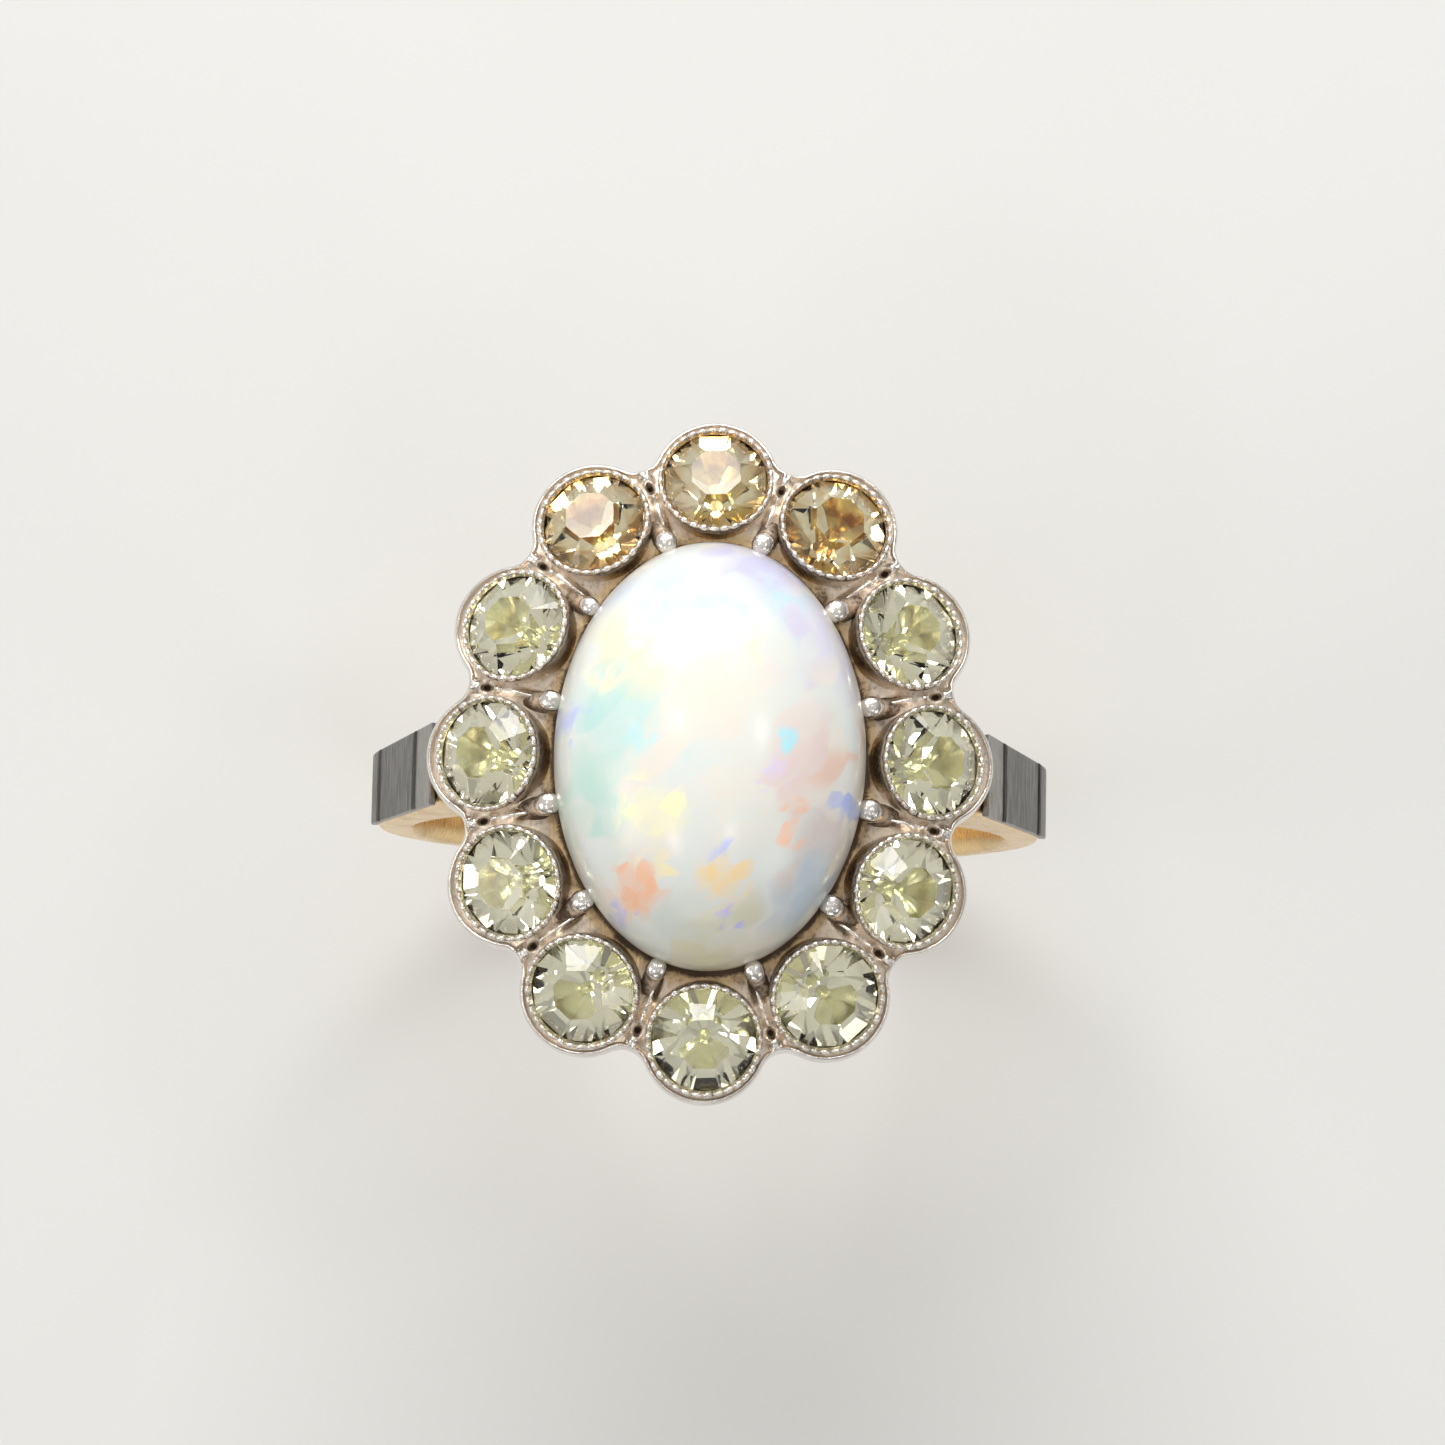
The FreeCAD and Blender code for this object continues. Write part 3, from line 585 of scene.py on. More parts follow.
def precious_opal(name):
    """Milky opal: a mosaic of slanting cells, each coloured by the cloud or flash that its
    own jittered middle falls in, with painted shade darkening it towards its edge and a brown
    painted shadow line at the setting."""
    kit = Finish(name)
    bent = kit.add("ShaderNodeVectorMath", operation="MULTIPLY_ADD")
    kit.link(kit.noise(0.7, 0.5, out="Color"), bent.inputs[0])
    bent.inputs[1].default_value = (0.7, 0.7, 0.7)
    kit.link(kit.millimetres, bent.inputs[2])
    turned = kit.mapped(bent.outputs["Vector"], turn=(0.0, 0.0, -0.75))
    skin = None
    for zones, share, grain, throw, soft, melt in OPAL_LAYERS:
        cells = kit.add("ShaderNodeTexVoronoi", feature="SMOOTH_F1")
        cells.inputs["Scale"].default_value = grain
        cells.inputs["Smoothness"].default_value = melt
        kit.link(kit.mapped(turned, scale=(0.62, 1.35, 1.0)), cells.inputs["Vector"])
        chance = kit.add("ShaderNodeSeparateColor")
        kit.link(cells.outputs["Color"], chance.inputs["Color"])
        glint = kit.spread(chance.outputs["Blue"], 0.1, 0.65, 0.6, 1.0)
        skin = skin or kit.blend(kit.spread(chance.outputs["Red"], 0.25, 0.75),
                                 dimmed(share, MILK_COOL), dimmed(share, MILK_WARM))
        jumble = kit.add("ShaderNodeVectorMath", operation="MULTIPLY_ADD")
        kit.link(cells.outputs["Color"], jumble.inputs[0])
        jumble.inputs[1].default_value = (throw, throw, 0.0)
        kit.link(kit.mapped(kit.millimetres, shift=(-throw / 2, -throw / 2, 0.0),
                            scale=(1, 1, 0)), jumble.inputs[2])
        for across, along, radius, tint, strength in zones:
            gap = kit.add("ShaderNodeVectorMath", operation="DISTANCE")
            kit.link(jumble.outputs["Vector"], gap.inputs[0])
            gap.inputs[1].default_value = (across, along, 0.0)
            near = kit.spread(gap.outputs["Value"], radius * (1 - soft),
                              radius * (1 + soft * 0.5), strength, 0.0)
            skin = kit.blend(kit.math("MULTIPLY", near, glint), skin, dimmed(share, tint))
    away = kit.oval_reach()
    skin = kit.blend(kit.spread(kit.noise(1.4, 3.0), 0.45, 0.75, 0.0, 0.30), skin, VEIL)
    # Painted shade towards the opal's edge, then a thin painted shadow line at the setting.
    skin = kit.blend(kit.spread(away, 0.84, 0.99, 0.0, 0.34), skin, RIM_SHADE)
    skin = kit.blend(kit.spread(away, 0.985, 0.998, 0.0, 0.8), skin, SETTING_SHADOW)
    kit.set(Base_Color=skin)
    kit.set(Roughness=0.2)
    kit.set(IOR=1.45)
    kit.set(Subsurface_Weight=0.15)
    kit.set(Subsurface_Radius=(0.9, 0.8, 0.7))
    kit.set(Subsurface_Scale=0.4 * MM)
    return kit.material


def floor_paint(name):
    """Plain matt floor with a hardly visible unevenness."""
    kit = Finish(name)
    cloudy = kit.noise(0.05, 2.0)
    base = colours().floor
    kit.set(Base_Color=kit.blend(kit.spread(cloudy, 0.3, 0.7), base, dimmed(0.985, base)))
    kit.set(Roughness=0.85)
    return kit.material


# ------------------------------------------------------------------ hoop and shoulders

def shoulder_reach(turn, radius):
    """Distance from the finger's axis to a shoulder: the circle, or above the shoulder
    angle the straight line that leaves it there."""
    bend = np.minimum(np.abs(turn) - sizes().shoulder_angle, 0.0)
    return radius / np.cos(bend)


def shoulder_top():
    """Height at which the shoulders stop, just under the head."""
    return BACK_LOW.z - PIECE_GAP


def squared(wave, corners):
    """A sine or cosine pushed out so that a circle of them turns into a rounded oblong:
    the wave to the power of two over the number given, keeping its sign."""
    return np.sign(wave) * np.abs(wave) ** (2 / corners)


def band_half_width(height):
    """Half the hoop's width, narrowing evenly from the head to the bottom."""
    share = (height + sizes().hoop_radius) / (BACK_LOW.z + sizes().hoop_radius)
    return (sizes().band_bottom + (sizes().band_top - sizes().band_bottom) * share) / 2


def hoop_surface():
    """Rounded oblong section carried round the finger: inner side at the finger radius,
    outer side at the shoulder reach but no higher than the head's underside; nearly square
    under the facings and rounder lower down."""
    turn = np.linspace(-math.pi, math.pi, 481)[:-1, None]
    swing = np.linspace(0, 2 * math.pi, 57)[:-1][None, :]
    level = shoulder_top() / np.maximum(np.cos(turn), 1e-3)
    outer = np.minimum(shoulder_reach(turn, sizes().hoop_radius), level)
    outer = np.maximum(outer, sizes().hoop_radius)
    middle = (outer + sizes().finger_radius) / 2
    thick = (outer - sizes().finger_radius) / 2
    square_corners, round_corners, ease_run, ease_power = 9.0, 3.4, 0.5, 0.7
    ease = np.clip((np.abs(turn) - sizes().facing_end) / ease_run, 0, 1) ** ease_power
    corners = square_corners - (square_corners - round_corners) * ease
    reach = middle + thick * squared(np.cos(swing), corners)
    height = reach * np.cos(turn)
    x = reach * np.sin(turn)
    y = band_half_width(height) * squared(np.sin(swing), corners)
    points = np.stack([x, y + 0 * x, height], -1)
    return outward(lattice(points, True, True))


FACING_CORNERS = 12.0           # squareness of the facing's section
GROOVE_APART = 0.13 * MM        # each cross line is a pair of grooves this far off its middle
GROOVE_DEPTH, GROOVE_WIDTH = 0.055 * MM, 0.05 * MM
RIDGE_HEIGHT, RIDGE_WIDTH = 0.03 * MM, 0.06 * MM    # raised line between the two grooves


def facing_surface(side):
    """Thin sheet laid along the shoulder: a flat oblong section carried from the head down,
    its outer face cut by pairs of fine cross grooves."""
    inner_radius = sizes().hoop_radius + PIECE_GAP
    outer_radius = inner_radius + sizes().facing_thickness
    fine = np.linspace(0.3, sizes().facing_end, 4000)
    height = shoulder_reach(fine, outer_radius) * np.cos(fine)
    start = fine[np.argmin(np.abs(height - shoulder_top()))]
    turn = np.linspace(start, sizes().facing_end, 221)[:, None]
    outer = shoulder_reach(turn, outer_radius)
    inner = shoulder_reach(turn, inner_radius)
    lift = outer * np.cos(turn)
    foot = outer_radius * math.cos(sizes().shoulder_angle)
    depth = np.zeros_like(turn)
    grime = np.zeros_like(turn)
    for level in (sizes().groove_height, foot):
        for shift in (-GROOVE_APART, GROOVE_APART):
            near = bump_shape(lift - level - shift, GROOVE_WIDTH)
            depth += GROOVE_DEPTH * near
            grime += near
        depth -= RIDGE_HEIGHT * bump_shape(lift - level, RIDGE_WIDTH)
    swing = np.linspace(0, 2 * math.pi, 65)[:-1][None, :]
    across = squared(np.cos(swing), FACING_CORNERS)
    through = squared(np.sin(swing), FACING_CORNERS)
    middle = (outer + inner) / 2
    reach = middle + (outer - inner) / 2 * through - depth * np.clip(through, 0, 1)
    x = side * reach * np.sin(turn)
    z = reach * np.cos(turn)
    y = (band_half_width(z) - PIECE_GAP) * across
    cuts = np.clip(grime, 0, 1) * np.clip(through, 0, 1)
    edge_start, edge_width = 0.965, 0.035
    rubbed = np.clip(np.abs(across) - edge_start, 0, 1) / edge_width
    polished = 0.7 * np.clip((lift - sizes().groove_height - 0.25 * MM) / (0.2 * MM), 0, 1)
    # The even half is painted shade that keeps the flat of the sheet at its darkest; the grooves
    # add dirt, and the rubbed edges and the strip by the head take the shade off.
    worn = 0.5 + 0.5 * cuts - 0.5 * np.maximum(rubbed, polished) * (1 - cuts)
    body = with_grime(np.stack([x, y, z], -1), worn)
    parts = [lattice(body, False, True), lattice(fan(body[:1])[::-1], False, True),
             lattice(fan(body[-1:]), False, True)]
    return outward(joined(parts))


# ------------------------------------------------------------------ scalloped outline

ARC = 46        # samples along the outer and the inner edge of each stone's share
LINE = 44       # samples along the line between two neighbours
WELL_LEDGE = 0.75 * MM      # silver that runs in under the opal's edge


def along_rays(angles):
    """Unit vectors at the angles."""
    return np.stack([np.cos(angles), np.sin(angles)], -1)


def swept(start, end):
    """Angles in even steps from start on to end, the same way round."""
    return start + (end - start) % (2 * math.pi) * np.linspace(0, 1, ARC)


def oval_crossing(origin, ray, half_x, half_y):
    """Terms a, b, c of a t^2 + 2 b t + c = 0, where a ray from the origin meets an oval."""
    half = np.array([half_x, half_y])
    a = ((ray / half) ** 2).sum(-1)
    b = (origin * ray / half ** 2).sum(-1)
    c = ((origin / half) ** 2).sum() - 1
    return a, b, c


def shares():
    """Each stone's share of the head, as rays from its centre.

    For every stone: the ray angles in the order outer edge, line to the next stone, inner
    edge, line to the stone before, and the distance along each ray to the share's edge.
    The outer edge is the lobe's circle, or the hollow's circle where that is nearer; the
    inner edge is the oval wall of the opal's well.
    """
    _, centres = stone_centres()
    lobe, hollow = sizes().lobe_radius, sizes().fillet_radius
    well_x, well_y = OPAL_HIGH.x - WELL_LEDGE, OPAL_HIGH.y - WELL_LEDGE
    rays, reaches = [], []
    for index in range(STONES):
        here = centres[index]
        facing, halves, lows, tips, gaps = {}, {}, {}, {}, {}
        for step in (1, -1):
            there = centres[(index + step) % STONES]
            half = np.linalg.norm(there - here) / 2
            middle = (here + there) / 2
            line = (there - here) / (2 * half)
            out = np.array([line[1], -line[0]]) * step
            high = math.sqrt((lobe + hollow) ** 2 - half ** 2)
            a, b, c = oval_crossing(middle, out, well_x, well_y)
            lows[step] = (-b + math.sqrt(b * b - a * c)) / a
            facing[step], halves[step] = math.atan2(line[1], line[0]), half
            tips[step], gaps[step] = high - hollow, middle + out * high - here

        def swing(step, height):
            """Angle from the stone's centre to a height on the line to its neighbour."""
            return facing[step] - step * np.arctan2(height, halves[step])

        outer = swept(swing(-1, tips[-1]), swing(1, tips[1]))
        inner = swept(swing(1, lows[1]), swing(-1, lows[-1]))
        ray = along_rays(outer)
        reach = np.full(ARC, lobe)
        for step in (1, -1):
            gap = gaps[step]
            along = ray @ gap
            inside = along ** 2 - gap @ gap + hollow ** 2
            graze = along - np.sqrt(np.maximum(inside, 0))
            beyond = step * (gap[0] * ray[:, 1] - gap[1] * ray[:, 0]) > 0
            reach = np.where((inside > 0) & (along > 0) & beyond, graze, reach)
        a, b, c = oval_crossing(here, along_rays(inner), well_x, well_y)
        inner_reach = (-b - np.sqrt(np.maximum(b * b - a * c, 0))) / a
        lines = {step: np.linspace(tips[step], lows[step], LINE)[1:-1][::step]
                 for step in (1, -1)}
        rays.append(np.concatenate([outer, swing(1, lines[1]), inner, swing(-1, lines[-1])]))
        reaches.append(np.concatenate([reach, np.hypot(lines[1], halves[1]), inner_reach,
                                       np.hypot(lines[-1], halves[-1])]))
    return centres, np.array(rays), np.array(reaches)


def outline_run(centres, rays, reaches, index, inset=0.0):
    """One stone's outer edge, drawn in towards its centre by the inset."""
    ray = along_rays(rays[index][:ARC])
    return centres[index] + ray * (reaches[index][:ARC] - inset)[:, None]


def between(centres, index, points):
    """For points in a stone's share, for each neighbour: height along the line between the
    two stones, outwards, and distance from that line."""
    found = []
    for step in (1, -1):
        there, here = centres[(index + step) % STONES], centres[index]
        half = np.linalg.norm(there - here) / 2
        line = (there - here) / (2 * half)
        out = np.array([line[1], -line[0]]) * step
        offset = points - (here + there) / 2
        found.append((offset @ out, np.abs(offset @ line), half))
    return found


FAR_INSIDE = 9 * MM         # stands for a point with no outer edge near it
CLEAR_OF_RIM = 0.4 * MM     # least distance given to points on the opal's side of the stones
INNER_SHARE = 0.2           # share of the lobe, towards the opal, past which no rim runs


def edge_distance(centres, index, points):
    """How far inside the scalloped edge each point lies: to the lobe's circle, or to the
    hollow's circle for points between the two stones."""
    lobe, hollow = sizes().lobe_radius, sizes().fillet_radius
    far = lobe - np.linalg.norm(points - centres[index], axis=-1)
    outward_way = centres[index] / np.linalg.norm(centres[index])
    inner_half = (points - centres[index]) @ outward_way < -INNER_SHARE * lobe
    far = np.where(inner_half, FAR_INSIDE, far)
    for height, side, half in between(centres, index, points):
        high = math.sqrt((lobe + hollow) ** 2 - half ** 2)
        wedge = (height > 0) & (height / high + side / half < 1)
        far = np.where(wedge, np.hypot(side, high - height) - hollow, far)
        far = np.where((height <= 0) & (side < half), np.maximum(far, CLEAR_OF_RIM), far)
    return far


# Rounded rim along the scalloped edge.
RIM_WIDTH, RIM_HEIGHT, RIM_BED = 0.15 * MM, 0.17 * MM, 0.05 * MM
# Cuts and grains between two stones: place outwards from the middle of the line that joins
# the stones, radius or ease, and height or depth.
GRAIN_PLACE, GRAIN_RADIUS, GRAIN_HEIGHT = 0.72 * MM, 0.17 * MM, 0.28 * MM
TWIN_PLACE, TWIN_RADIUS, TWIN_HEIGHT = 0.18 * MM, 0.15 * MM, 0.22 * MM
SLIT_PLACE, SLIT_RADIUS, SLIT_DEPTH = 0.46 * MM, 0.13 * MM, 0.34 * MM
HOLLOW_PLACE, HOLLOW_EASE, HOLLOW_DEPTH = -0.50 * MM, 0.10 * MM, 0.20 * MM
SPUR_END, SPUR_EASE, SPUR_HEIGHT = -1.15 * MM, 0.08 * MM, 0.21 * MM
SPUR_WIDTH, SPUR_RISE = 0.13 * MM, 0.6 * MM
HAMMER_HEIGHT, HAMMER_SCALE, HAMMER_SEED = 0.012 * MM, 0.12 * MM, 5


def frame_top(centres, index, points):
    """Height and grime of the silver between the collets: the sloping top, a rounded rim
    along the scalloped edge, grains, slits and ridges cut in the corners between stones; the grime
    also holds a painted shadow band along the opal's edge."""
    x, y = points[..., 0], points[..., 1]
    level = cone_level(x, y)
    edge = edge_distance(centres, index, points)
    across = np.clip((edge - RIM_WIDTH / 2) / (RIM_WIDTH / 2), -1, 1)
    lift = RIM_HEIGHT * np.sqrt(1 - across ** 2) - RIM_BED
    grime = 0.55 * np.clip((edge - 0.11 * MM) / (0.06 * MM), 0, 1)
    pairs = between(centres, index, points)
    nearest = np.minimum(pairs[0][1], pairs[1][1])
    for height, side, half in pairs:
        near = (side < half) & (side <= nearest)
        grain = bump_shape(np.hypot(height - GRAIN_PLACE, side), GRAIN_RADIUS)
        twin = bump_shape(np.hypot(height - TWIN_PLACE, side * 1.4), TWIN_RADIUS)
        slit = bump_shape(np.hypot((height - SLIT_PLACE) * 0.8, side * 1.5), SLIT_RADIUS)
        hollow = step_up(HOLLOW_PLACE - height, HOLLOW_EASE)
        spur = bump_shape(side, SPUR_WIDTH) * np.clip(-height / SPUR_RISE, 0, 1)
        spur *= step_up(height - SPUR_END, SPUR_EASE)
        lift = lift + near * (GRAIN_HEIGHT * grain + TWIN_HEIGHT * twin - SLIT_DEPTH * slit
                              - HOLLOW_DEPTH * hollow + SPUR_HEIGHT * spur)
        grime = np.where(near, grime + 0.9 * slit + 0.05 * hollow - 0.9 * grain
                         - 0.8 * twin - 0.8 * spur, grime)
    grime = np.where(edge < 0.12 * MM, grime * 0.3, grime)
    away = np.hypot(x / OPAL_HIGH.x, y / OPAL_HIGH.y)
    # Painted shadow: a dark band on the silver along the opal's edge, which the finish turns to the
    # tarnish colour.
    grime = grime + 0.6 * np.clip((1.018 - away) / 0.02, 0, 1)
    spots = np.concatenate([points, level[..., None]], -1)
    lift = lift + HAMMER_HEIGHT * ripple(spots, HAMMER_SEED, HAMMER_SCALE)
    return level + lift, np.clip(grime, 0, 1)


COLLET_HOLE = 1.60 * MM     # radius of the hole in the sheet round each collet
NEAR_EDGE = np.array([0, .012, .03, .05, .075, .10, .12, .138, .15, .17]) * MM
# Steps down the scalloped wall: share of the way down, and how far drawn in.
WALL_STEPS = [(0, 0), (0.06, 0), (0.25, 0), (0.5, 0), (0.8, 0), (0.95, 0), (1.0, 0.05 * MM)]


def frame_surface():
    """Silver head: for every stone a sheet from its share's edge in to its collet, with a
    closed cup below the collet, then one wall down the scalloped edge, the underside and
    the wall of the opal's well."""
    centres, rays, reaches = shares()
    heading, lean = stone_leans(stone_centres()[0])
    parts, outer_edge, inner_edge = [], [], []
    for index in range(STONES):
        away = rays[index] - heading[index]
        hole = COLLET_HOLE / np.sqrt((np.cos(away) / math.cos(lean[index])) ** 2
                                     + np.sin(away) ** 2)
        edge = reaches[index]
        room = np.maximum(edge - hole - NEAR_EDGE[-1], 0.01 * MM)
        rest = NEAR_EDGE[-1] + room[:, None] * np.linspace(0, 1, 11)[None, 1:]
        inwards = np.concatenate([np.repeat(NEAR_EDGE[None], len(edge), 0), rest], 1)
        reach = edge[:, None] - inwards
        points = centres[index] + along_rays(rays[index])[:, None, :] * reach[..., None]
        height, grime = frame_top(centres, index, points)
        sheet = np.concatenate([points, height[..., None], grime[..., None]], -1)
        cup = sheet[:, -1:].repeat(2, 1)
        cup[..., 2] = FRAME_LOW.z + 0.05 * MM
        cup[:, 1, :2] = centres[index]
        parts.append(lattice(np.concatenate([sheet, cup], 1), True, False))
        outer_edge.append(sheet[:ARC - 1, 0])
        inner_edge.append(sheet[ARC + LINE - 2:2 * ARC + LINE - 2, 0][:0:-1])
    outer = np.concatenate(outer_edge)
    inner = np.concatenate(inner_edge)
    size_out = np.linalg.norm(outer[:, :2], axis=1)[:, None]
    steps = []
    for share, pull in WALL_STEPS:
        ring = outer.copy()
        ring[:, 2] += (FRAME_LOW.z - outer[:, 2]) * share
        ring[:, :2] *= 1 - pull / size_out
        if share > 0:
            ring[:, 3] = 0.12 + 0.5 * max(share - 0.8, 0) / 0.2
        steps.append(ring)
    foot, low_inner = steps[-1], inner.copy()
    low_inner[:, 2] = FRAME_LOW.z
    for share in np.linspace(0, 1, 9)[1:]:
        ring = foot * (1 - share) + low_inner * share
        ring[:, 3] = 0.6
        steps.append(ring)
    steps.append(inner)
    parts.append(lattice(np.array(steps), False, True))
    return outward(joined(parts))


BACK_INSET, BACK_ROUNDING = 0.12 * MM, 0.42 * MM


def back_surface():
    """Closed gold back: the scalloped outline carried down past one fine groove and a
    rounded edge, and in under to the middle."""
    share_edges = shares()
    outline = np.concatenate([outline_run(*share_edges, index, BACK_INSET)[:-1]
                              for index in range(STONES)])
    size_out = np.linalg.norm(outline, axis=1)[:, None]
    top, low = BACK_HIGH.z, BACK_LOW.z
    middle = size_out.max()
    upper = [(middle, 0.0), (0.10 * MM, 0.0), (0.03 * MM, 0.02 * MM), (0.0, 0.08 * MM),
             (0.0, 0.35 * MM), (0.05 * MM, 0.42 * MM), (0.0, 0.50 * MM)]
    profile = [(inset, top - drop) for inset, drop in upper]
    profile += [(BACK_ROUNDING * (1 - math.cos(bend)),
                 low + BACK_ROUNDING * (1 - math.sin(bend)))
                for bend in np.linspace(0, math.pi / 2, 9)]
    profile += [(inset, low) for inset in (1.2 * MM, 3.0 * MM, 5.0 * MM, middle)]
    rings = []
    for inset, level in profile:
        share = 1 - np.minimum(inset / size_out, 1.0)
        rings.append(np.concatenate([outline * share, np.full((len(outline), 1), level)], 1))
    return outward(lattice(np.array(rings), False, True))


# ------------------------------------------------------------------ settings

STEPS_IN_GRAIN = 8
LIP_MIDDLE, LIP_LEVEL = 0.062 * MM, 0.145 * MM      # middle of the grained rim's section
GRAIN_TALL = 1.15           # height of a grain over its width
# Section of a collet: distance out from the stone's edge, height, grime.
OUTSIDE = [(0.06 * MM, -0.5 * MM, 0.4), (0.13 * MM, -0.05 * MM, 0.5),
           (0.14 * MM, 0.06 * MM, 0.7), (0.115 * MM, 0.115 * MM, 0.8)]
INSIDE = [(-0.035 * MM, 0.10 * MM, 0.55), (-0.035 * MM, 0.075 * MM, 0.6),
          (0.02 * MM, 0.05 * MM, 0.3), (0.02 * MM, -0.32 * MM, 0.1)]


def collet_surface(place, seed):
    """Tapered cup: a section turned round the stone, its rim swelling into round grains
    whose width follows a half circle along each grain."""
    rng = np.random.default_rng(seed)
    count = sizes().grain_count
    steps = np.arange(count * STEPS_IN_GRAIN)
    turn = steps / len(steps) * 2 * math.pi
    within = (steps % STEPS_IN_GRAIN + 0.5) / STEPS_IN_GRAIN * 2 - 1
    worn = np.repeat(rng.uniform(0.72, 1.12, count), STEPS_IN_GRAIN)
    worn *= 1 - 0.25 * np.clip(np.sin(turn * 2 + rng.uniform(0, 6)), 0, 1)
    swell = sizes().grain_radius * np.sqrt(1 - (0.97 * within) ** 2) * worn
    stone, sink = sizes().stone_radius, sizes().stone_sink
    bend = np.linspace(-0.25, math.pi + 0.35, 9)
    rim_r = stone + LIP_MIDDLE + swell[:, None] * np.cos(bend)
    rim_z = LIP_LEVEL + swell[:, None] * GRAIN_TALL * np.sin(bend)
    rim_grime = np.abs(within[:, None]) ** 2.5 * 0.95 + 0 * rim_r
    outer = [(0.0, -sink, 0.3), (stone - 0.20 * MM, -sink, 0.3),
             (stone - 0.12 * MM, -sink + 0.05 * MM, 0.3)]
    outer += [(stone + out, level, dirt) for out, level, dirt in OUTSIDE]
    inner = [(stone + out, level, dirt) for out, level, dirt in INSIDE]
    inner += [(0.0, 0.4 * MM - sink, 0.1)]
    flat = np.ones((len(turn), 1))
    radius, height, grime = (
        np.concatenate([flat * before, rim, flat * after], 1)
        for before, rim, after in zip(zip(*outer), (rim_r, rim_z, rim_grime), zip(*inner)))
    points = np.stack([radius * np.cos(turn)[:, None], radius * np.sin(turn)[:, None],
                       height], -1)
    return outward(lattice(placed(with_grime(points, grime), place), True, False))


# Cut of a stone: size of the ring of corners against the stone's edge, and its height.
TABLE_CUT, TABLE_LEVEL = 0.50, 0.60 * MM
WAIST_CUT, WAIST_LEVEL = 0.46, -0.80 * MM
FLAT_CUT, FLAT_LEVEL = 0.13, -1.22 * MM
EDGE_LEVEL = 0.045 * MM
BROAD = math.radians(17)    # half angle of a broad facet where it meets the edge


def stone_surface(place, spin):
    """Chaton cut: an eight-sided table, eight broad facets and eight points down to the
    edge, a thin edge, and broad facets and points below that meet in a small flat."""
    radius = sizes().stone_radius - STONE_GAP
    eighth = math.pi / 4
    step = np.arange(8)
    corner = (step + 0.5) * eighth
    pairs = np.stack([step * eighth - BROAD, step * eighth + BROAD], -1).reshape(-1)

    def ring(angles, reach, level):
        return np.stack([reach * np.cos(angles), reach * np.sin(angles),
                         np.full(len(angles), level)], -1)

    corners = np.concatenate([
        ring(corner, TABLE_CUT * radius, TABLE_LEVEL), ring(pairs, radius, EDGE_LEVEL),
        ring(pairs, radius, -EDGE_LEVEL), ring(corner, WAIST_CUT * radius, WAIST_LEVEL),
        ring(corner, FLAT_CUT * radius, FLAT_LEVEL),
        np.array([[0.0, 0.0, TABLE_LEVEL], [0.0, 0.0, FLAT_LEVEL]])])
    table, top, low, waist, base, middle, point = 0, 8, 24, 40, 48, 56, 57
    quads = []
    for k in range(8):
        before, left, right, after = (k - 1) % 8, 2 * k, 2 * k + 1, 2 * ((k + 1) % 8)
        quads += [(table + before, table + k, top + right, top + left),
                  (table + k, table + k, top + after, top + right),
                  (top + left, top + right, low + right, low + left),
                  (top + right, top + after, low + after, low + right),
                  (low + left, low + right, waist + k, waist + before),
                  (low + right, low + after, waist + k, waist + k),
                  (waist + before, waist + k, base + k, base + before),
                  (base + before, base + k, point, point),
                  (table + before, table + k, middle, middle)]
    turned = np.array([[math.cos(spin), -math.sin(spin), 0],
                       [math.sin(spin), math.cos(spin), 0], [0, 0, 1]])
    stain = np.hypot(corners[:, 0], corners[:, 1]) / radius
    return facing_out(placed(with_grime(corners @ turned.T, stain), place), np.array(quads))


def facing_out(corners, quads):
    """Turns every facet of a round solid to face away from its middle."""
    middle = corners[:, :3].mean(0)
    a, b, c, d = (corners[quads[:, k], :3] for k in range(4))
    way = np.cross(c - a, d - b)
    inwards = np.einsum("ij,ij->i", way, (a + b + c + d) / 4 - middle) < 0
    return corners, np.where(inwards[:, None], quads[:, ::-1], quads)


# ------------------------------------------------------------------ opal and claws

DOME_FULLNESS = 2.1         # 2 is a circle; more is a fuller curve
GIRDLE_RISE = 0.15 * MM     # of the opal's widest line over its flat bottom
# Below the widest line: share of the opal's width, and the drop.
OPAL_EDGE = [(0.995, 0.05 * MM), (0.975, 0.11 * MM)]
OPAL_FOOT = [0.95, 0.5, 0.0]


def opal_surface():
    """Cabochon: an oval dome whose section is a fuller curve than a circle, a rounded
    edge and a bevelled foot."""
    around = np.linspace(0, 2 * math.pi, 193)[:-1][:, None]
    climb = np.linspace(0, math.pi / 2, 72)
    girdle = OPAL_LOW.z + GIRDLE_RISE
    tall = OPAL_HIGH.z - girdle
    power = 2 / DOME_FULLNESS
    edge = [(share, girdle - drop) for share, drop in OPAL_EDGE]
    edge += [(share, OPAL_LOW.z) for share in OPAL_FOOT]
    edge_reach, edge_level = zip(*edge)
    reach = np.concatenate([np.sin(climb) ** power, edge_reach])
    level = np.concatenate([girdle + tall * np.cos(climb) ** power, edge_level])
    x = (OPAL_HIGH.x - OPAL_GAP) * reach * np.cos(around)
    y = (OPAL_HIGH.y - OPAL_GAP) * reach * np.sin(around)
    return outward(lattice(np.stack([x, y, level + 0 * x], -1), True, False))


CLAW_SEED, CLAW_RIPPLE_SEED = 40, 60
CLAW_RISE = 0.62 * MM       # from its root to the middle of its bead
CLAW_SINK = 0.25 * MM       # of its root below the top of the silver
CLAW_OUT = 0.10 * MM        # of its root from the opal's edge
CLAW_ROUGH, CLAW_GRAIN = 0.012 * MM, 0.15 * MM
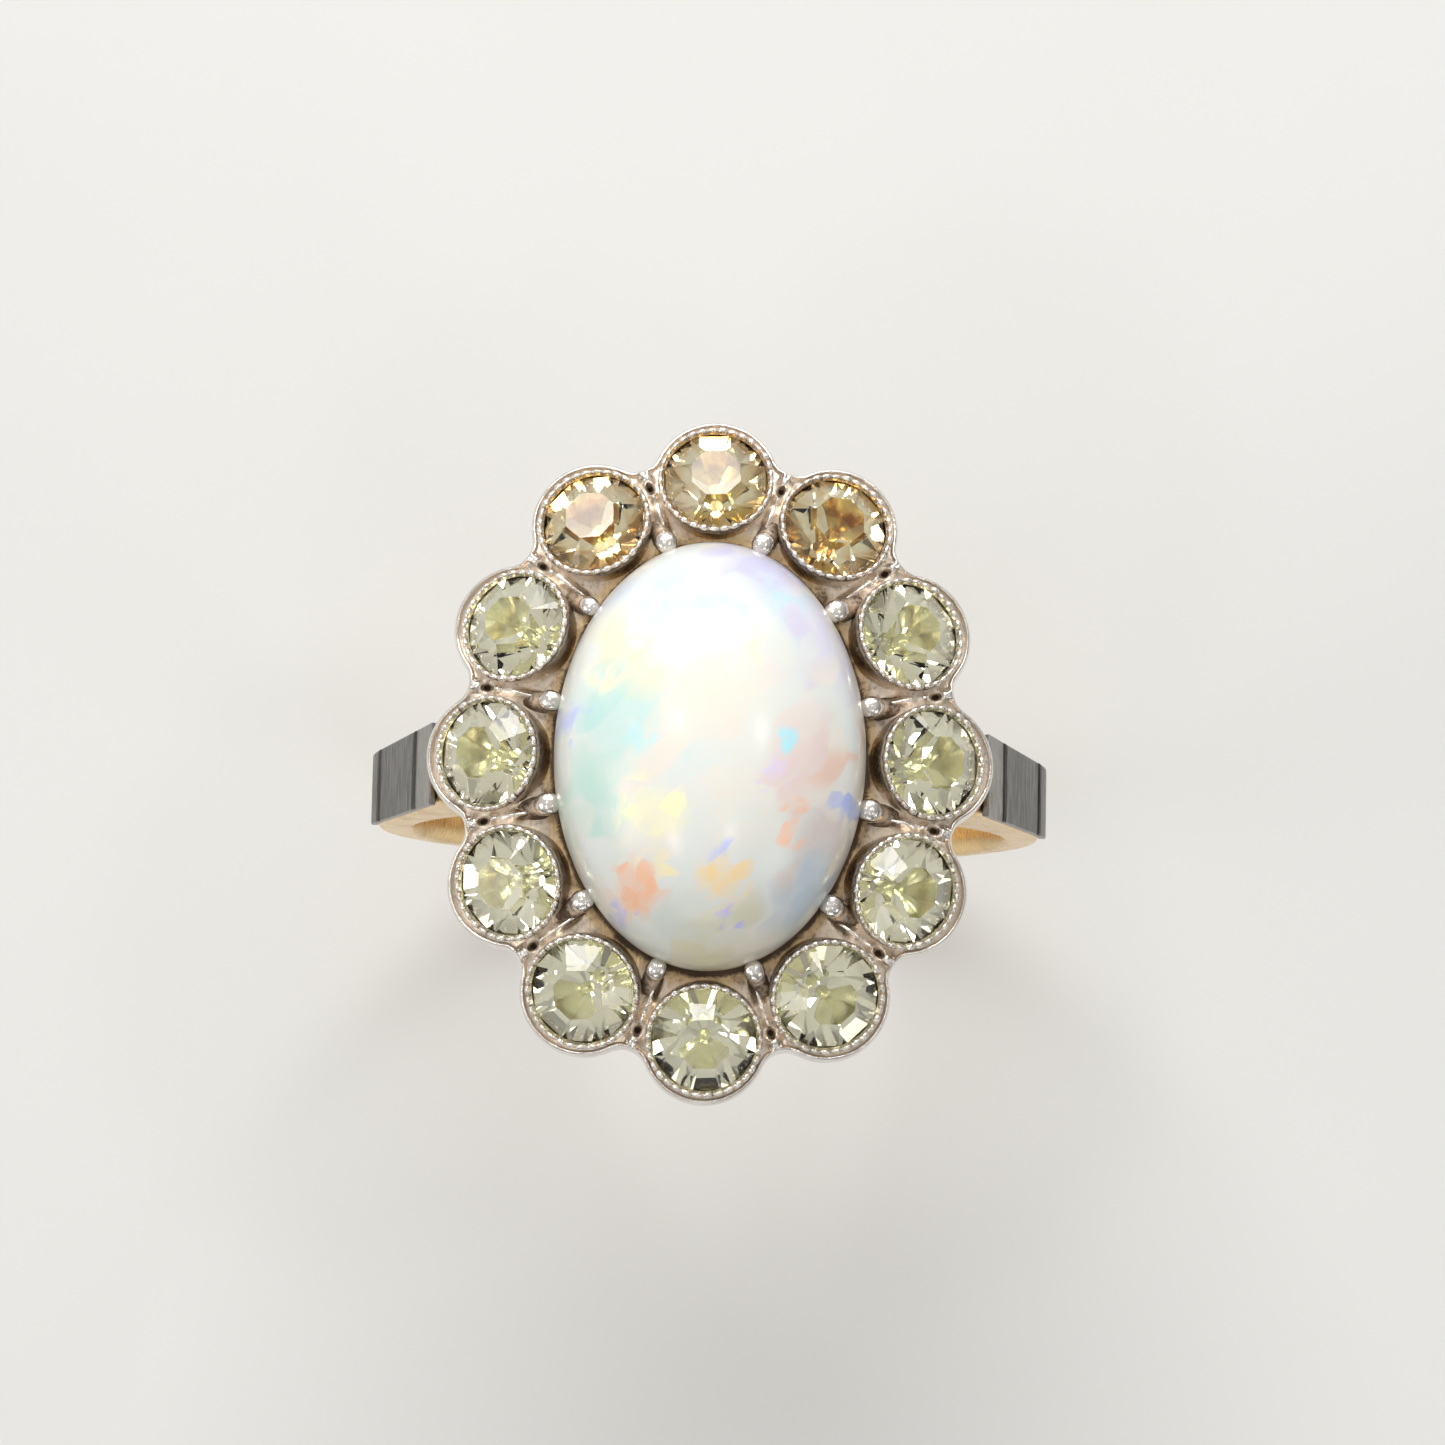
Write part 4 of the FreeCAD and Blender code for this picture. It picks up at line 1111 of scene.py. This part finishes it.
# Run of a value up the claw: shares of the way up, and the values there.
CLAW_WIDTH = ([0, 0.35, 0.55, 0.62, 0.72, 0.82, 0.9, 0.96, 1.0],
              [1.0, 0.82, 0.8, 0.93, 1.0, 0.95, 0.78, 0.5, 0.0])
CLAW_TAIL = ([0, 0.4, 0.7, 1.0], [1.1, 0.30, 0.0, 0.0])
CLAW_LEAN = ([0, 0.5, 1.0], [0.34, 0.16, 0.04])
CLAW_GRIME = ([0, 0.3, 0.6, 0.75, 1], [0.9, 0.8, 0.35, 0.05, 0.0])


def claw_surface(index, turn):
    """Bead claw: a rounded, slightly squashed head on a stem, leaning over the opal, with
    a tail cut from the bed behind it."""
    rng = np.random.default_rng(CLAW_SEED + index)
    edge = np.array([OPAL_HIGH.x * math.cos(turn), OPAL_HIGH.y * math.sin(turn)])
    out = np.array([math.cos(turn) / OPAL_HIGH.x, math.sin(turn) / OPAL_HIGH.y])
    out /= np.linalg.norm(out)
    side = np.array([-out[1], out[0]])
    head = sizes().claw_radius * rng.uniform(0.9, 1.12)
    swing = np.linspace(0, 2 * math.pi, 25)[:-1][:, None]
    climb = np.linspace(0, 1, 19)
    width, tail, lean, dirt = (np.interp(climb, *run) for run in
                               (CLAW_WIDTH, CLAW_TAIL, CLAW_LEAN, CLAW_GRIME))
    along = width * head * np.cos(swing)
    along = np.where(along > 0, along * (1 + tail), along * 0.95)
    across = width * head * np.sin(swing) * 0.92
    ground = edge + out * CLAW_OUT
    xy = ground + out * (lean * MM + along)[..., None] + side * across[..., None]
    z = FRAME_HIGH.z - CLAW_SINK + climb * (CLAW_RISE + head) + 0 * along
    points = np.concatenate([xy, z[..., None]], -1)
    points[..., 2] += CLAW_ROUGH * ripple(points, CLAW_RIPPLE_SEED + index, CLAW_GRAIN)
    floor = np.repeat(points[:, :1].mean(0, keepdims=True), len(points), 0)
    points = np.concatenate([floor, points], 1)
    grime = np.concatenate([dirt[:1], dirt])
    return outward(lattice(with_grime(points, grime), True, False))


# ------------------------------------------------------------------ operators

class MakeHoop(bpy.types.Operator):
    """Gold hoop with raised shoulders"""
    bl_idname = "ring.make_hoop"
    bl_label = "Hoop"

    def execute(self, context):
        fit_out(make_piece("hoop", hoop_surface()), finish("old_gold", old_gold),
                "shank")
        return {"FINISHED"}


class MakeFacings(bpy.types.Operator):
    """Silver sheets with cross grooves on both shoulders"""
    bl_idname = "ring.make_facings"
    bl_label = "Shoulder facings"

    def execute(self, context):
        for side, name in ((-1, "left"), (1, "right")):
            piece = make_piece("facing_" + name, facing_surface(side))
            fit_out(piece, finish("dull_silver_in_painted_shade", dull_silver_in_painted_shade),
                    "shoulder_facing_" + name)
        return {"FINISHED"}


class MakeHead(bpy.types.Operator):
    """Scalloped silver frame and the closed gold back under it"""
    bl_idname = "ring.make_head"
    bl_label = "Head"

    def execute(self, context):
        fit_out(make_piece("scalloped_head", frame_surface()),
                finish("worn_silver", worn_silver), "scalloped_frame")
        fit_out(make_piece("closed_back", back_surface()), finish("old_gold", old_gold),
                "gold_back")
        refinish("opal_seat", finish("dirty_gold", dirty_gold))
        return {"FINISHED"}


YELLOWED = (2, 3, 4)        # stones whose foil has spoiled
HAND_SET = 0.06             # how far, in radians, a stone is turned from true


class MakeSettings(bpy.types.Operator):
    """Millgrained collets, paste stones and the foil behind them"""
    bl_idname = "ring.make_settings"
    bl_label = "Paste settings"

    def execute(self, context):
        paint = colours()
        clear = finish("paste_clear", lambda name: paste_glass(
            name, tuple(paint.paste), haze=0.10, stain=0.12))
        amber = finish("paste_amber", lambda name: paste_glass(
            name, tuple(paint.amber), haze=0.28, stain=0.9))
        bright = finish("foil_bright", lambda name: foil_finish(
            name, tuple(paint.foil), FOIL_TARNISH, share=0.10))
        spoilt = finish("foil_spoilt", lambda name: foil_finish(
            name, FOIL_YELLOW, tuple(paint.rust), share=0.16))
        silver = finish("worn_silver", worn_silver)
        for index, place in enumerate(settings()):
            number = "%02d" % (index + 1)
            piece = make_piece("millgrain_" + number, collet_surface(place, index))
            fit_out(piece, silver, "collet_" + number)
            heading = math.atan2(place[0][1, 2], place[0][0, 2])
            spin = math.pi / 2 - heading + HAND_SET * math.sin(5.0 * index)
            stone = make_piece("paste_" + number, stone_surface(place, spin), smooth=False)
            yellowed = index in YELLOWED
            fit_out(stone, amber if yellowed else clear, "stone_" + number)
            refinish("foil_" + number, spoilt if yellowed else bright)
        return {"FINISHED"}


class MakeOpal(bpy.types.Operator):
    """Oval opal cabochon"""
    bl_idname = "ring.make_opal"
    bl_label = "Opal"

    def execute(self, context):
        fit_out(make_piece("opal_cabochon", opal_surface()),
                finish("precious_opal", precious_opal), "opal")
        return {"FINISHED"}


class MakeClaws(bpy.types.Operator):
    """Bead claws round the opal"""
    bl_idname = "ring.make_claws"
    bl_label = "Bead claws"

    def execute(self, context):
        half_x, half_y = ring_axes()
        parts = [claw_surface(index, turn)
                 for index, turn in enumerate(oval_turns(half_x, half_y, STONES, 0.5))]
        fit_out(make_piece("bead_claw_set", joined(parts)),
                finish("worn_silver", worn_silver), "bead_claws")
        return {"FINISHED"}


# Each: name, degrees round from +X, degrees down from straight up, degrees wide and high,
# brightness, colour.
LAMPS = [
    ("key", 97, 47, 46, 16, 8.2, (1.0, 0.99, 0.98)),
    ("window", 92, 73, 44, 12, 2.8, (0.95, 0.98, 1.0)),
    ("side_left", 195, 58, 26, 22, 2.4, (1.0, 0.98, 0.95)),
    ("side_right", 325, 60, 20, 20, 1.8, (1.0, 0.98, 0.95)),
    ("front", 268, 66, 26, 12, 2.2, (1.0, 0.98, 0.96)),
    ("spark_1", 20, 30, 6, 6, 11.0, (1.0, 1.0, 1.0)),
    ("spark_2", 142, 22, 6, 6, 11.0, (1.0, 1.0, 1.0)),
    ("spark_3", 232, 34, 6, 6, 10.0, (1.0, 1.0, 1.0)),
    ("spark_4", 60, 66, 8, 6, 9.0, (1.0, 1.0, 1.0)),
    ("spark_5", 300, 26, 5, 5, 10.0, (1.0, 1.0, 1.0)),
]


LAMP_DISTANCE = 0.30


def soft_light(name, round_from_x, down, wide, high, brightness, tint):
    """Oblong lamp facing the head; brightness is how bright it looks."""
    target = Vector((0, 0, stone_level()))
    way = Matrix.Rotation(math.radians(round_from_x), 3, "Z") @ Vector(
        (math.sin(math.radians(down)), 0, math.cos(math.radians(down))))
    lamp = bpy.data.lights.new(name, "AREA")
    lamp.shape = "RECTANGLE"
    lamp.size = 2 * LAMP_DISTANCE * math.tan(math.radians(wide / 2))
    lamp.size_y = 2 * LAMP_DISTANCE * math.tan(math.radians(high / 2))
    lamp.energy = brightness * lamp.size * lamp.size_y * math.pi
    lamp.color = tint
    thing = bpy.data.objects.new(name, lamp)
    bpy.context.scene.collection.objects.link(thing)
    thing.location = target + way * LAMP_DISTANCE
    thing.rotation_euler = (-way).to_track_quat("-Z", "Y").to_euler()


SKY_WAY = (-0.34, 0.50, 0.80)           # towards the brightest part of the surroundings
SKY_RAMP = {"From Min": -0.3, "From Max": 0.9, "To Min": 0.20, "To Max": 0.60}
SKY_TINT = (1.0, 0.985, 0.96, 1)


def studio_world():
    """Pale surroundings, brightest overhead and towards +Y, dimmer low down and behind."""
    world = bpy.data.worlds.new("studio")
    world.use_nodes = True
    nodes, links = world.node_tree.nodes, world.node_tree.links
    way = nodes.new("ShaderNodeTexCoord").outputs["Generated"]
    lean = nodes.new("ShaderNodeVectorMath")
    lean.operation = "DOT_PRODUCT"
    links.new(way, lean.inputs[0])
    lean.inputs[1].default_value = SKY_WAY
    ramp = nodes.new("ShaderNodeMapRange")
    ramp.interpolation_type = "SMOOTHSTEP"
    links.new(lean.outputs["Value"], ramp.inputs["Value"])
    for socket, number in SKY_RAMP.items():
        ramp.inputs[socket].default_value = number
    background = nodes["Background"]
    background.inputs["Color"].default_value = SKY_TINT
    links.new(ramp.outputs["Result"], background.inputs["Strength"])
    return world


FLOOR_HALF = 4.0
CAMERA_TILT, CAMERA_ROLL = math.radians(6.5), math.radians(2.5)
CAMERA_DISTANCE, HALF_VIEW = 120 * MM, 20.23 * MM       # half of the width seen at the head
AIM_RIGHT, AIM_UP = 0.33 * MM, 1.01 * MM
SENSOR_WIDTH = 36.0
CLIP = (0.01, 3.0)


def place_camera(scene):
    """Camera over the head, tilted a little towards -Y."""
    target = Vector((0, 0, stone_level()))
    back = Vector((0, -math.sin(CAMERA_TILT), math.cos(CAMERA_TILT)))
    up = Vector((0, math.cos(CAMERA_TILT), math.sin(CAMERA_TILT)))
    lens = bpy.data.cameras.new("camera")
    lens.sensor_width = SENSOR_WIDTH
    lens.lens = SENSOR_WIDTH / 2 * CAMERA_DISTANCE / HALF_VIEW
    lens.clip_start, lens.clip_end = CLIP
    camera = bpy.data.objects.new("camera", lens)
    scene.collection.objects.link(camera)
    camera.location = target + back * CAMERA_DISTANCE
    aim = target + up * AIM_UP + Vector((1, 0, 0)) * AIM_RIGHT
    look = (aim - camera.location).to_track_quat("-Z", "Y").to_matrix()
    camera.rotation_euler = (look @ Matrix.Rotation(CAMERA_ROLL, 3, "Z")).to_euler()
    scene.camera = camera


class MakeStage(bpy.types.Operator):
    """Floor, soft lights and camera"""
    bl_idname = "ring.make_stage"
    bl_label = "Stage"

    def execute(self, context):
        corners = np.array([[x * FLOOR_HALF, y * FLOOR_HALF, HOOP_LOW.z]
                            for x, y in ((-1, -1), (1, -1), (1, 1), (-1, 1))])
        floor = make_piece("floor", (corners, np.array([[0, 1, 2, 3]])))
        floor.data.materials.append(finish("floor_paint", floor_paint))
        context.scene.world = studio_world()
        context.scene.view_settings.view_transform = "Standard"
        for lamp in LAMPS:
            soft_light(*lamp)
        place_camera(context.scene)
        return {"FINISHED"}


class RingPanel(bpy.types.Panel):
    """Buttons that make the ring, piece by piece"""
    bl_idname = "VIEW3D_PT_ring"
    bl_label = "Opal and Paste Ring"
    bl_space_type = "VIEW_3D"
    bl_region_type = "UI"
    bl_category = "Ring"

    def draw(self, context):
        column = self.layout.column()
        for group in (context.scene.ring_sizes, context.scene.ring_colours):
            for name in group.bl_rna.properties.keys():
                if name not in ("rna_type", "name"):
                    column.prop(group, name)
        for operator in MAKERS:
            column.operator(operator.bl_idname)


MAKERS = (MakeHoop, MakeFacings, MakeHead, MakeSettings, MakeOpal, MakeClaws, MakeStage)
CLASSES = (RingSizes, RingColours, *MAKERS, RingPanel)


def register():
    for item in CLASSES:
        bpy.utils.register_class(item)
    bpy.types.Scene.ring_sizes = PointerProperty(type=RingSizes)
    bpy.types.Scene.ring_colours = PointerProperty(type=RingColours)


def unregister():
    del bpy.types.Scene.ring_sizes
    del bpy.types.Scene.ring_colours
    for item in reversed(CLASSES):
        bpy.utils.unregister_class(item)


def main():
    register()
    bpy.ops.ring.make_hoop()
    bpy.ops.ring.make_facings()
    bpy.ops.ring.make_head()
    bpy.ops.ring.make_settings()
    bpy.ops.ring.make_opal()
    bpy.ops.ring.make_claws()
    bpy.ops.ring.make_stage()


if __name__ == "__main__":
    main()
